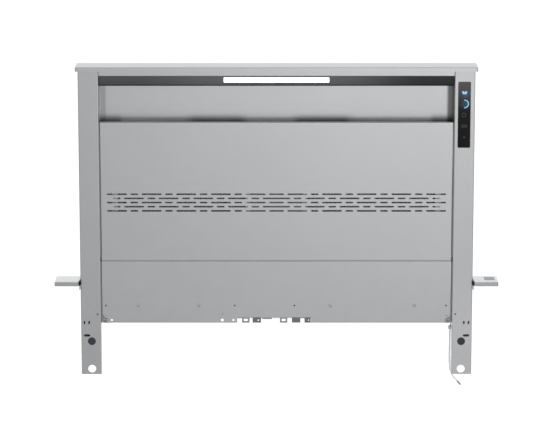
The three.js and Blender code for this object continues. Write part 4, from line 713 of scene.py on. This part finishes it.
MAKERS = {
    "stainless": partial(brushed, "Brushed stainless", "steel"),
    # the posts' colour carries painted light on the right foot
    "upright_stainless": partial(
        brushed,
        "Brushed stainless, upright grain",
        "steel",
        0.96 * POST_LIFT,
        along="Z",
        share_of=post_painted_light,
    ),
    "mill_steel_painted_highlight": mill_steel_painted_highlight,
    "cap_steel": partial(brushed, "Brushed cap steel", "cap_steel"),
    # the trims' tops and walls are lit and shaded copies of one steel: painted light and painted shade
    "trim_top": partial(brushed, "Brushed trim steel", "trim_top"),
    "trim_wall": partial(brushed, "Drawn trim steel", "steel", 0.89, 0.06),
    "housing_painted_shade": housing_painted_shade,
    "wall_steel": wall_steel,
    "zinc_steel": zinc_plate,
    "spring_steel": spring_steel,
    "aluminium": aluminium,
    "expanded_mesh": expanded_mesh,
    "black_plastic": partial(moulded, "Black moulded plastic", (0.016, 0.016, 0.018), 0.48),
    "grey_plastic": partial(moulded, "Satin grey plastic", (0.33, 0.33, 0.335), 0.4),
    "guide_plastic": partial(moulded, "Black slide plastic", (0.006, 0.006, 0.007), 0.5, 0.12),
    "pale_plastic": partial(moulded, "Pale natural plastic", (0.50, 0.50, 0.49), 0.5, 0.3),
    "plug_plastic": partial(moulded, "Soft black plastic", (0.022, 0.018, 0.026), 0.62, 0.2),
    "shoe_plastic": partial(moulded, "Dark grey moulded plastic", (0.17, 0.17, 0.172), 0.55, 0.3),
    "button_plastic": partial(moulded, "Silver button plastic", (0.25, 0.25, 0.252), 0.75, 0.05),
    "bezel_plastic": partial(moulded, "Button frame plastic", (0.10, 0.10, 0.102), 0.75, 0.05),
    "felt": felt,
    "lead_grey": cable_jacket,
    "control_glass": control_glass,
    "lit_pale": partial(lit_symbol, "Lit pale symbol", (0.46, 0.73, 0.96), 0.9),
    "lit_blue": partial(lit_symbol, "Lit blue symbol", (0.40, 0.73, 0.93), 0.85),
    "dim_grey": partial(lit_symbol, "Dim grey symbol", (0.055, 0.058, 0.062), 0.8),
    "dim_brown": partial(lit_symbol, "Dim brown symbol", (0.042, 0.034, 0.030), 0.8),
    "dim_tan": partial(lit_symbol, "Dim tan symbol", (0.17, 0.13, 0.10), 0.9),
    "opal_lens": opal_lens,
    "circuit_board": circuit_board,
}
_made = {}


def finish_named(name):
    """The material of that name, made when it is first asked for."""
    if name not in _made:
        _made[name] = MAKERS[name]()
    return _made[name]


# ---------------------------------------------------------------- pieces
def whole_faces(node):
    """A node of the frame as a bmesh, its flat triangles paired into quads."""
    form = bmesh.new()
    form.from_mesh(frame["nodes"][node].data)
    bmesh.ops.remove_doubles(form, verts=form.verts[:], dist=WELD)
    bmesh.ops.join_triangles(
        form,
        faces=form.faces[:],
        angle_face_threshold=FLAT,
        angle_shape_threshold=math.pi,
    )
    return form


FACE_STRENGTH = "__mod_weightednormals_faceweight"  # the layer that Weighted Normal reads
STRENGTH_AREA = 1e-7  # square metres to one unit of strength


def weigh_flats(form):
    """Gives each face the strength of its whole flat, so that bends take the flats' normals."""
    layer = form.faces.layers.int.new(FACE_STRENGTH)
    met = set()
    for first in form.faces:
        if first in met:
            continue
        met.add(first)
        flat = [first]
        for face in flat:
            for edge in face.edges:
                for other in edge.link_faces:
                    if other not in met and face.normal.angle(other.normal, math.pi) < FLAT:
                        met.add(other)
                        flat.append(other)
        area = sum(face.calc_area() for face in flat)
        for face in flat:
            face[layer] = int(area / STRENGTH_AREA)


def piece(name, form, finish, smooth=True):
    """Turns a bmesh into an object of the scene; edges that turn sharply stay sharp."""
    form.normal_update()
    for edge in form.edges:
        edge.smooth = edge.calc_face_angle(0.0) < SHARP
    if smooth:
        weigh_flats(form)
    mesh = bpy.data.meshes.new(name)
    form.to_mesh(mesh)
    form.free()
    mesh.materials.append(finish)
    for face in mesh.polygons:
        face.use_smooth = smooth
    made = bpy.data.objects.new(name, mesh)
    bpy.context.scene.collection.objects.link(made)
    return made


def ride_with(made, node):
    """A piece takes a node's body."""
    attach(made, BODY_OF[node])
    return made


def stand_in(made, node):
    """A finished piece takes a node's body, and its place."""
    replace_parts(ride_with(made, node), node)
    return made


def break_edges(made, radius):
    """Rounds the edges that turn sharply by a radius, or leaves them, and keeps flats flat."""
    if radius:
        rounding = made.modifiers.new("Broken edges", "BEVEL")
        rounding.width = radius
        rounding.segments = 2
        rounding.limit_method = "ANGLE"
        rounding.angle_limit = SHARP
        rounding.harden_normals = True
    weighting = made.modifiers.new("Flat faces stay flat", "WEIGHTED_NORMAL")
    weighting.use_face_influence = True
    weighting.keep_sharp = True
    return made


def finished(node, suffix, finish=None, radius=None):
    """A node's own shape, in its place, with broken edges and its slot's finish or the one named."""
    made = piece(f"{node}_{suffix}", whole_faces(node), finish_named(finish or SLOT_OF[node]))
    if radius is None:
        radius = bpy.context.scene.vent_details.deburr
    return stand_in(break_edges(made, radius), node)


def rounded(node, finish=None, suffix="moulding"):
    """A finished piece with the rounder edges of plastic and glass."""
    return finished(node, suffix, finish, bpy.context.scene.vent_details.moulding)


def carved(form, cutter):
    """One bmesh less another, by an exact boolean."""
    pair = []
    for part in (form, cutter):
        mesh = bpy.data.meshes.new("carving")
        part.to_mesh(mesh)
        part.free()
        pair.append(bpy.data.objects.new("carving", mesh))
        bpy.context.scene.collection.objects.link(pair[-1])
    cut = pair[0].modifiers.new("Cut", "BOOLEAN")
    cut.object = pair[1]
    cut.solver = "EXACT"
    cut.use_self = True
    result = bmesh.new()
    result.from_object(pair[0], bpy.context.evaluated_depsgraph_get())
    for made in pair:
        bpy.data.objects.remove(made)
    return result


CROSS_REACH = 0.62  # length and width of the arms of a screw's cross, as parts of its head's width
CROSS_WIDTH = 0.2
CROSS_DEPTH = 0.8 * MM
FINE_EDGE = 0.05 * MM


def cross_screw(node, out):
    """A screw with a cross pressed into the head that faces out."""
    low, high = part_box(node)
    width = high.x - low.x
    top = (low + high) / 2 + out * (abs((high - low).dot(out)) / 2)
    long, short = width * CROSS_REACH, width * CROSS_WIDTH
    cutter = bmesh.new()
    for size in ((long, short), (short, long)):
        arm = bmesh.ops.create_cube(cutter, size=1.0)["verts"]
        bmesh.ops.scale(cutter, vec=(*size, 2 * CROSS_DEPTH), verts=arm)
    turn = out.to_track_quat("Z", "Y").to_matrix().to_4x4()
    bmesh.ops.transform(cutter, matrix=Matrix.Translation(top) @ turn, verts=cutter.verts[:])
    made = piece(f"{node}_turned", carved(whole_faces(node), cutter), finish_named("stainless"))
    return stand_in(break_edges(made, FINE_EDGE), node)


def finish_where(made, finish, chosen):
    """Gives the faces that are chosen a finish of their own, and the piece stays one mesh."""
    made.data.materials.append(finish_named(finish))
    for face in made.data.polygons:
        if chosen(face):
            face.material_index = len(made.data.materials) - 1
    return made


# Upward faces take a lighter finish: painted light on the tops
def painted_light_on_top(made, finish):
    return finish_where(made, finish, lambda face: face.normal.z > MOSTLY)


def behind_front(made):
    """The folded edges and the back of a front panel keep the mill surface; on the folded edges it is
    also a painted highlight.
    """
    return finish_where(made, "mill_steel_painted_highlight", lambda face: face.normal.y > BACKWARDS)


def prism(outline, axis, start, end):
    """A closed outline drawn along one axis; its pairs hold the two other axes in order."""
    form = bmesh.new()
    ends = []
    for at in (start, end):
        ring = []
        for pair in outline:
            place = list(pair)
            place.insert("XYZ".index(axis), at)
            ring.append(form.verts.new(place))
        ends.append(ring)
        form.faces.new(ring)
    count = len(outline)
    for k in range(count):
        following = (k + 1) % count
        form.faces.new((ends[0][k], ends[0][following], ends[1][following], ends[1][k]))
    bmesh.ops.recalc_face_normals(form, faces=form.faces[:])
    return form


def strip(name, form, finish, node):
    """A long extra piece that rides with a node."""
    return ride_with(break_edges(piece(name, form, finish_named(finish)), 0.0), node)


SEAL_STANDS = 1.5 * MM  # out from the post
SEAL_HALF = 1.4 * MM
SEAL_BEHIND = 3.8 * MM  # middle of the strip behind the front faces
SEAL_END_GAP = 1.0 * MM
SEAL_ARCS = 8
STOP_HALF = 7 * MM
STOP_THICKNESS = 2 * MM
STOP_BEHIND = 1.4 * MM  # from the back of the post
STOP_LOW = -118 * MM
STOP_HIGH = -68 * MM


def panel_seals(side, sign):
    """Half-round felt strips on a post's inner face, in the gap beside the front panels."""
    outline = []
    for k in range(SEAL_ARCS + 1):
        turn = math.pi * (k / SEAL_ARCS - 0.5)
        x = POST_LOW.x - SEAL_STANDS * math.cos(turn)
        outline.append((sign * x, POST_LOW.y + SEAL_BEHIND + SEAL_HALF * math.sin(turn)))
    pin_low, pin_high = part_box(f"{side}_hinge_pin")
    shoe_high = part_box(f"{side}_lower_shoe")[1].z
    panel_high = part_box("access_panel")[1].z
    spans = {
        "upper": (pin_high.z + SEAL_END_GAP, panel_high - SEAL_END_GAP),
        "lower": (shoe_high + SEAL_END_GAP, pin_low.z - SEAL_END_GAP),
    }
    for name, (low, high) in spans.items():
        strip(f"{side}_{name}_felt", prism(outline, "Z", low, high), "felt", f"{side}_hole_plug")


def slot_shade_stop(side, sign):
    """Plastic stop that closes the slot down the back of a post, below the guide's travel: a black sheet
    put there as the shade inside the post.
    """
    back = POST_HIGH.y - STOP_BEHIND
    middle = sign * (POST_LOW.x + POST_HIGH.x) / 2
    outline = [
        (middle - STOP_HALF, back - STOP_THICKNESS),
        (middle + STOP_HALF, back - STOP_THICKNESS),
        (middle + STOP_HALF, back),
        (middle - STOP_HALF, back),
    ]
    form = prism(outline, "Z", STOP_LOW, STOP_HIGH)
    strip(f"{side}_slot_stop", form, "guide_plastic", f"{side}_hole_plug")


HEM_RISE = 0.9 * MM  # above the lower panel, into the seam
HEM_FOOT = 2.0 * MM
HEM_SHEET = 1.3 * MM
HEM_ARCS = 5
HEM_PROUD = 0.02 * MM
HEM_END_GAP = 1.0 * MM


def panel_hem():
    """The hemmed front edge of the lower panel, which narrows the seam under the hinged panel; its upward
    faces carry a painted highlight.
    """
    low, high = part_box("lower_panel")
    front = low.y - HEM_PROUD
    foot = high.z - HEM_FOOT
    outline = [(front + HEM_SHEET, foot), (front, foot)]
    for k in range(HEM_ARCS + 1):
        turn = math.radians(90) * k / HEM_ARCS
        outline.append((front + HEM_RISE * (1 - math.cos(turn)), high.z + HEM_RISE * math.sin(turn)))
    outline.append((front + HEM_SHEET, high.z + HEM_RISE))
    end = high.x - HEM_END_GAP
    hem = strip("lower_panel_hem", prism(outline, "X", -end, end), "stainless", "lower_panel")
    # the lighter cap steel on the upward faces is a painted highlight along the seam
    finish_where(hem, "cap_steel", lambda face: face.normal.z > UPWARDS)


def faces_middle(face):
    """Whether a face of a post looks towards the middle of the vent."""
    return face.normal.x * face.center.x < -MOSTLY * abs(face.center.x)


# ---------------------------------------------------------------- operators
CAMERA_X = -1.0 * MM  # the photo's centre lies this far beside the vent's


class VENT_OT_camera(bpy.types.Operator):
    """Stands the camera in front of the vent, a little above it"""

    bl_idname = "vent.camera"
    bl_label = "Camera"

    def execute(self, context):
        view = context.scene.vent_view
        lens = bpy.data.cameras.new("Camera")
        lens.sensor_fit = "HORIZONTAL"
        lens.sensor_width = 36.0
        lens.lens = view.lens
        lens.clip_end = 100.0
        camera = bpy.data.objects.new("Camera", lens)
        context.scene.collection.objects.link(camera)
        camera.location = (CAMERA_X, POST_LOW.y - view.distance, view.height)
        camera.rotation_euler = (math.radians(90) - view.tilt, 0.0, 0.0)
        context.scene.camera = camera
        return {"FINISHED"}


# The lead's free end in the frame, from its clip below the duct to its connector past the foot.
LEAD_ROUTE = [
    (0.3598, 0.0086, -0.0960),
    (0.3598, 0.0086, -0.1055),
    (0.3597, 0.0085, -0.1270),
    (0.3595, 0.0083, -0.1490),
    (0.3596, 0.0082, -0.1680),
    (0.3610, 0.0083, -0.1835),
    (0.3646, 0.0085, -0.1955),
    (0.3698, 0.0088, -0.2040),
    (0.3760, 0.0092, -0.2110),
]
ROUTE_STEPS = 8


def smooth_route(points, steps):
    """A centripetal Catmull-Rom curve through the points, as evenly stepped points."""
    points = [Vector(point) for point in points]
    ends = [2 * points[0] - points[1], *points, 2 * points[-1] - points[-2]]
    route = []
    for p0, p1, p2, p3 in zip(ends, ends[1:], ends[2:], ends[3:]):
        t0, t1 = 0.0, (p1 - p0).length ** 0.5
        t2 = t1 + (p2 - p1).length ** 0.5
        t3 = t2 + (p3 - p2).length ** 0.5
        for k in range(steps):
            t = t1 + (t2 - t1) * k / steps
            a1 = p0.lerp(p1, (t - t0) / (t1 - t0))
            a2 = p1.lerp(p2, (t - t1) / (t2 - t1))
            a3 = p2.lerp(p3, (t - t2) / (t3 - t2))
            b1 = a1.lerp(a2, (t - t0) / (t2 - t0))
            b2 = a2.lerp(a3, (t - t1) / (t3 - t1))
            route.append(b1.lerp(b2, (t - t1) / (t2 - t1)))
    return [*route, points[-1]]


class VENT_OT_lead_tail(bpy.types.Operator):
    """Hangs the free end of the control lead, with its connector, beside the right foot"""

    bl_idname = "vent.lead_tail"
    bl_label = "Lead tail"

    def execute(self, context):
        details = context.scene.vent_details
        route = smooth_route(LEAD_ROUTE, ROUTE_STEPS)
        line = bpy.data.curves.new("lead_tail_jacket", "CURVE")
        line.dimensions = "3D"
        line.bevel_depth = details.lead_diameter / 2
        line.bevel_resolution = 6
        line.use_fill_caps = True
        spline = line.splines.new("POLY")
        spline.points.add(len(route) - 1)
        for point, place in zip(spline.points, route):
            point.co = (*place, 1.0)
        spline.use_smooth = True
        line.materials.append(finish_named("lead_grey"))
        tail = bpy.data.objects.new("lead_tail_jacket", line)
        context.scene.collection.objects.link(tail)
        stand_in(tail, "lead_tail")
        connector = finished("lead_connector", "housing", "shoe_plastic")
        length = sum((b - a).length for a, b in zip(route, route[1:]))
        return {"FINISHED"}


class VENT_OT_posts(bpy.types.Operator):
    """Makes the two folded posts with their plugs, lower shoes, hinge pins and catches"""

    bl_idname = "vent.posts"
    bl_label = "Posts"

    def execute(self, context):
        for side, sign in SIGNS.items():
            panel_seals(side, sign)
            slot_shade_stop(side, sign)
            post = finished(f"{side}_post", "sheet", "upright_stainless")
            finish_where(post, "mill_steel_painted_highlight", faces_middle)
            rounded(f"{side}_hole_plug", "plug_plastic")
            rounded(f"{side}_lower_shoe", "shoe_plastic")
            finished(f"{side}_hinge_pin", "turned", "spring_steel")
            rounded(f"{side}_catch_magnet")
        return {"FINISHED"}


class VENT_OT_cap(bpy.types.Operator):
    """Makes the top cap and the header strip under it"""

    bl_idname = "vent.cap"
    bl_label = "Cap and header"

    def execute(self, context):
        # the cap's top takes the lighter cap steel: painted light
        painted_light_on_top(finished("top_cap", "sheet", "stainless"), "cap_steel")
        finished("header_strip", "sheet")
        return {"FINISHED"}


class VENT_OT_light_bar(bpy.types.Operator):
    """Makes the light's housing, its opal lens and its board"""

    bl_idname = "vent.light_bar"
    bl_label = "Light bar"

    def execute(self, context):
        finished("light_housing", "sheet", "housing_painted_shade")
        finished("light_diffuser", "lens")
        finished("led_board", "board")
        return {"FINISHED"}


WALL_GAP = 1.0 * MM  # the wall's edges that lie nearer to a post than this close up to it


class VENT_OT_duct(bpy.types.Operator):
    """Makes the rear panel, the lower panel and the stiffener with its screws"""

    bl_idname = "vent.duct"
    bl_label = "Duct"

    def execute(self, context):
        wall = finished("rear_panel", "sheet", "wall_steel", 0.0)
        for vertex in wall.data.vertices:
            if abs(vertex.co.x) > POST_LOW.x - WALL_GAP:
                vertex.co.x = math.copysign(POST_LOW.x, vertex.co.x)
        behind_front(finished("lower_panel", "sheet"))
        panel_hem()
        finished("lower_stiffener", "sheet")
        for k in range(1, 5):
            cross_screw(f"lower_screw_{k}", Vector((0.0, -1.0, 0.0)))
        return {"FINISHED"}


class VENT_OT_access_panel(bpy.types.Operator):
    """Makes the hinged panel with its five rows of slots"""

    bl_idname = "vent.access_panel"
    bl_label = "Access panel"

    def execute(self, context):
        behind_front(finished("access_panel", "sheet"))
        return {"FINISHED"}


class VENT_OT_filters(bpy.types.Operator):
    """Makes the grease filters and the channels that hold them"""

    bl_idname = "vent.filters"
    bl_label = "Filters"

    def execute(self, context):
        for side in SIGNS:
            finished(f"{side}_filter_frame", "extrusion")
            finished(f"{side}_filter_mesh", "mesh", "expanded_mesh")
            finished(f"{side}_filter_pull", "strip")
            finished(f"{side}_filter_channel", "sheet")
        finished("centre_mullion", "sheet")
        finished("filter_rail_top", "sheet")
        finished("filter_rail_bottom", "sheet")
        return {"FINISHED"}


class VENT_OT_lift_bracket(bpy.types.Operator):
    """Makes the lift bracket and its spring clips"""

    bl_idname = "vent.lift_bracket"
    bl_label = "Lift bracket"

    def execute(self, context):
        finished("lift_bracket", "sheet")
        for k in range(1, 4):
            finished(f"spring_clip_{k}", "strip")
        return {"FINISHED"}


class VENT_OT_touch_control(bpy.types.Operator):
    """Makes the touch control in the right post: glass, box, board, lead and the lead's clip"""

    bl_idname = "vent.touch_control"
    bl_label = "Touch control"

    def execute(self, context):
        rounded("control_glass", suffix="plate")
        rounded("control_box")
        finished("control_board", "board")
        finished("control_lead", "jacket")
        finished("lead_clip", "moulding", "pale_plastic")
        return {"FINISHED"}


SYMBOL_THICKNESS = 0.15 * MM
SYMBOL_SINK = 0.05 * MM  # how far the print lies in the glass
ARC_STEP = 10  # degrees

# Millimetres across and upwards from the middle of the symbol.
LAMP_OUTLINE = [
    (-5.4, 2.6),
    (-3.6, 3.3),
    (-2.2, 3.0),
    (0.0, 0.8),
    (2.2, 3.0),
    (3.6, 3.3),
    (5.4, 2.6),
    (3.6, -3.0),
    (-3.6, -3.0),
]


def ring_outline(outer, inner, start, end):
    """A band round a circle, in millimetres, between two angles in degrees."""
    steps = round((end - start) / ARC_STEP)
    angles = [math.radians(start + (end - start) * k / steps) for k in range(steps + 1)]
    rim = [(outer * math.cos(a), outer * math.sin(a)) for a in angles]
    return rim + [(inner * math.cos(a), inner * math.sin(a)) for a in reversed(angles)]


def bar_outline(width, height):
    half, rise = width / 2, height / 2
    return [(-half, -rise), (half, -rise), (half, rise), (-half, rise)]


def printed(name, outline, z, finish, dx=0.0):
    """A thin raised print on the glass, from its outline in millimetres round a height."""
    front = GLASS_LOW.y + SYMBOL_SINK - SYMBOL_THICKNESS
    points = [(SYMBOL_X + (x + dx) * MM, z + up * MM) for x, up in outline]
    form = prism(points, "Y", front, front + SYMBOL_THICKNESS)
    return ride_with(piece(name, form, finish_named(finish), smooth=False), "control_glass")


class VENT_OT_touch_symbols(bpy.types.Operator):
    """Prints the touch symbols on the glass: a lamp, a speed ring and three dim ones"""

    bl_idname = "vent.touch_symbols"
    bl_label = "Touch symbols"

    def execute(self, context):
        lamp, speed, timer, filters, spare = SYMBOL_Z
        printed("symbol_lamp", LAMP_OUTLINE, lamp, "lit_pale")
        printed("symbol_speed_lit", ring_outline(8.9, 6.8, -96, 93), speed, "lit_blue")
        printed("symbol_speed_dim", ring_outline(8.6, 7.2, 103, 254), speed, "dim_brown")
        printed("symbol_timer", ring_outline(4.8, 3.0, -90, 268), timer, "dim_grey", -1.0)
        printed("symbol_filter", bar_outline(12, 7), filters, "dim_brown")
        printed("symbol_dot", ring_outline(1.3, 0.1, 0, 350), spare, "dim_tan")
        return {"FINISHED"}


class VENT_OT_end_trims(bpy.types.Operator):
    """Makes the fixed frame in the countertop: trims, bases, guides and the rear rail"""

    bl_idname = "vent.end_trims"
    bl_label = "End trims"

    def execute(self, context):
        for side in SIGNS:
            # walls in painted shade, upper faces in painted light
            trim = finished(f"{side}_end_trim", "sheet", "trim_wall")
            painted_light_on_top(trim, "trim_top")
            finished(f"{side}_trim_base", "sheet")
            rounded(f"{side}_front_guide", "guide_plastic")
            rounded(f"{side}_rear_guide", "guide_plastic")
            cross_screw(f"{side}_rail_screw", Vector((0.0, 0.0, 1.0)))
        finished("rear_rail", "sheet")
        return {"FINISHED"}


class VENT_OT_lift_button(bpy.types.Operator):
    """Makes the raise and lower button with its frame, switch and spring"""

    bl_idname = "vent.lift_button"
    bl_label = "Lift button"

    def execute(self, context):
        rounded("lift_button", "button_plastic")
        rounded("button_frame", "bezel_plastic")
        finished("button_switch", "board")
        spring = finished("button_spring", "wire", radius=FINE_EDGE)
        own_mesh(spring)
        return {"FINISHED"}


def pale_floor():
    """Matt pale floor, very slightly mottled."""
    finish = Finish("Pale floor", {"Roughness": 0.9, "Specular IOR Level": 0.2})
    colour = bpy.context.scene.vent_studio.floor
    mottle = finish.noise(finish.place(), 3.0, 3.0)
    return finish.shade({"Base Color": finish.mix(mottle, dimmed(colour, 0.99), dimmed(colour, 1.01))})


def soft_light(name, place, aim, size, power):
    lamp = bpy.data.lights.new(name, "AREA")
    lamp.shape = "RECTANGLE"
    lamp.size, lamp.size_y = size
    lamp.energy = power
    made = bpy.data.objects.new(name, lamp)
    bpy.context.scene.collection.objects.link(made)
    made.location = place
    made.rotation_euler = (Vector(aim) - Vector(place)).to_track_quat("-Z", "Y").to_euler()
    return made


# The studio brightens between these parts of the way of looking: backwards, upwards and to the right.
SKY_BEHIND = (-0.4, 0.6)
SKY_ABOVE = (0.1, 0.9)
SKY_RIGHT = (-0.2, 0.2)


def studio_sky(studio):
    """A white studio all round, brightest behind the vent and overhead."""
    world = bpy.data.worlds.new("Studio")
    tree = NodeTree(world)
    way = tree.node("ShaderNodeTexCoord", result="Generated")
    behind = tree.ramp(tree.axis(way, "Y"), *SKY_BEHIND)
    above = tree.ramp(tree.axis(way, "Z"), *SKY_ABOVE)
    right = tree.ramp(tree.axis(way, "X"), *SKY_RIGHT)
    front_right = studio.right * right * (1.0 - behind)
    strength = studio.sky + studio.back * behind + studio.overhead * above + front_right
    sky = tree.nodes["Background"]
    tree.feed(sky.inputs["Color"], (1.0, 1.0, 1.0, 1.0))
    tree.feed(sky.inputs["Strength"], strength)
    return world


KEY_PLACE = (0.75, -5.4, 0.1)
KEY_AIM = (0.2, 0.0, 0.2)
KEY_SIZE = (1.6, 1.3)
FLOOR_RADIUS = 30.0


class VENT_OT_stage(bpy.types.Operator):
    """Lays the pale floor and sets the soft studio light"""

    bl_idname = "vent.stage"
    bl_label = "Stage"

    def execute(self, context):
        studio = context.scene.vent_studio
        form = bmesh.new()
        bmesh.ops.create_circle(form, cap_ends=True, segments=96, radius=FLOOR_RADIUS)
        bmesh.ops.translate(form, verts=form.verts[:], vec=(0.0, 0.0, -studio.floor_drop))
        piece("studio_floor", form, pale_floor(), smooth=False)
        context.scene.world = studio_sky(studio)
        context.scene.view_settings.view_transform = "Standard"
        soft_light("Key", KEY_PLACE, KEY_AIM, KEY_SIZE, studio.key)
        return {"FINISHED"}


class VENT_PT_build(bpy.types.Panel):
    """Lists the steps that build the vent"""

    bl_idname = "VENT_PT_build"
    bl_label = "Downdraft vent"
    bl_space_type = "VIEW_3D"
    bl_region_type = "UI"
    bl_category = "Vent"

    def draw(self, context):
        for step in STEPS:
            self.layout.operator(step.bl_idname)


STEPS = [
    VENT_OT_camera,
    VENT_OT_lead_tail,
    VENT_OT_posts,
    VENT_OT_cap,
    VENT_OT_light_bar,
    VENT_OT_duct,
    VENT_OT_access_panel,
    VENT_OT_filters,
    VENT_OT_lift_bracket,
    VENT_OT_touch_control,
    VENT_OT_touch_symbols,
    VENT_OT_end_trims,
    VENT_OT_lift_button,
    VENT_OT_stage,
]
SETTINGS = {
    "vent_view": VentView,
    "vent_finishes": VentFinishes,
    "vent_details": VentDetails,
    "vent_studio": VentStudio,
}


def register():
    for kind in (*SETTINGS.values(), *STEPS, VENT_PT_build):
        bpy.utils.register_class(kind)
    for name, kind in SETTINGS.items():
        setattr(bpy.types.Scene, name, bpy.props.PointerProperty(type=kind))


def unregister():
    for name in SETTINGS:
        delattr(bpy.types.Scene, name)
    for kind in reversed((*SETTINGS.values(), *STEPS, VENT_PT_build)):
        bpy.utils.unregister_class(kind)


def main():
    for started in list(bpy.data.objects):
        if started.name in ("Cube", "Light", "Camera"):
            bpy.data.objects.remove(started)
    register()
    for step in STEPS:
        group, name = step.bl_idname.split(".")
        getattr(getattr(bpy.ops, group), name)()


if __name__ == "__main__":
    main()
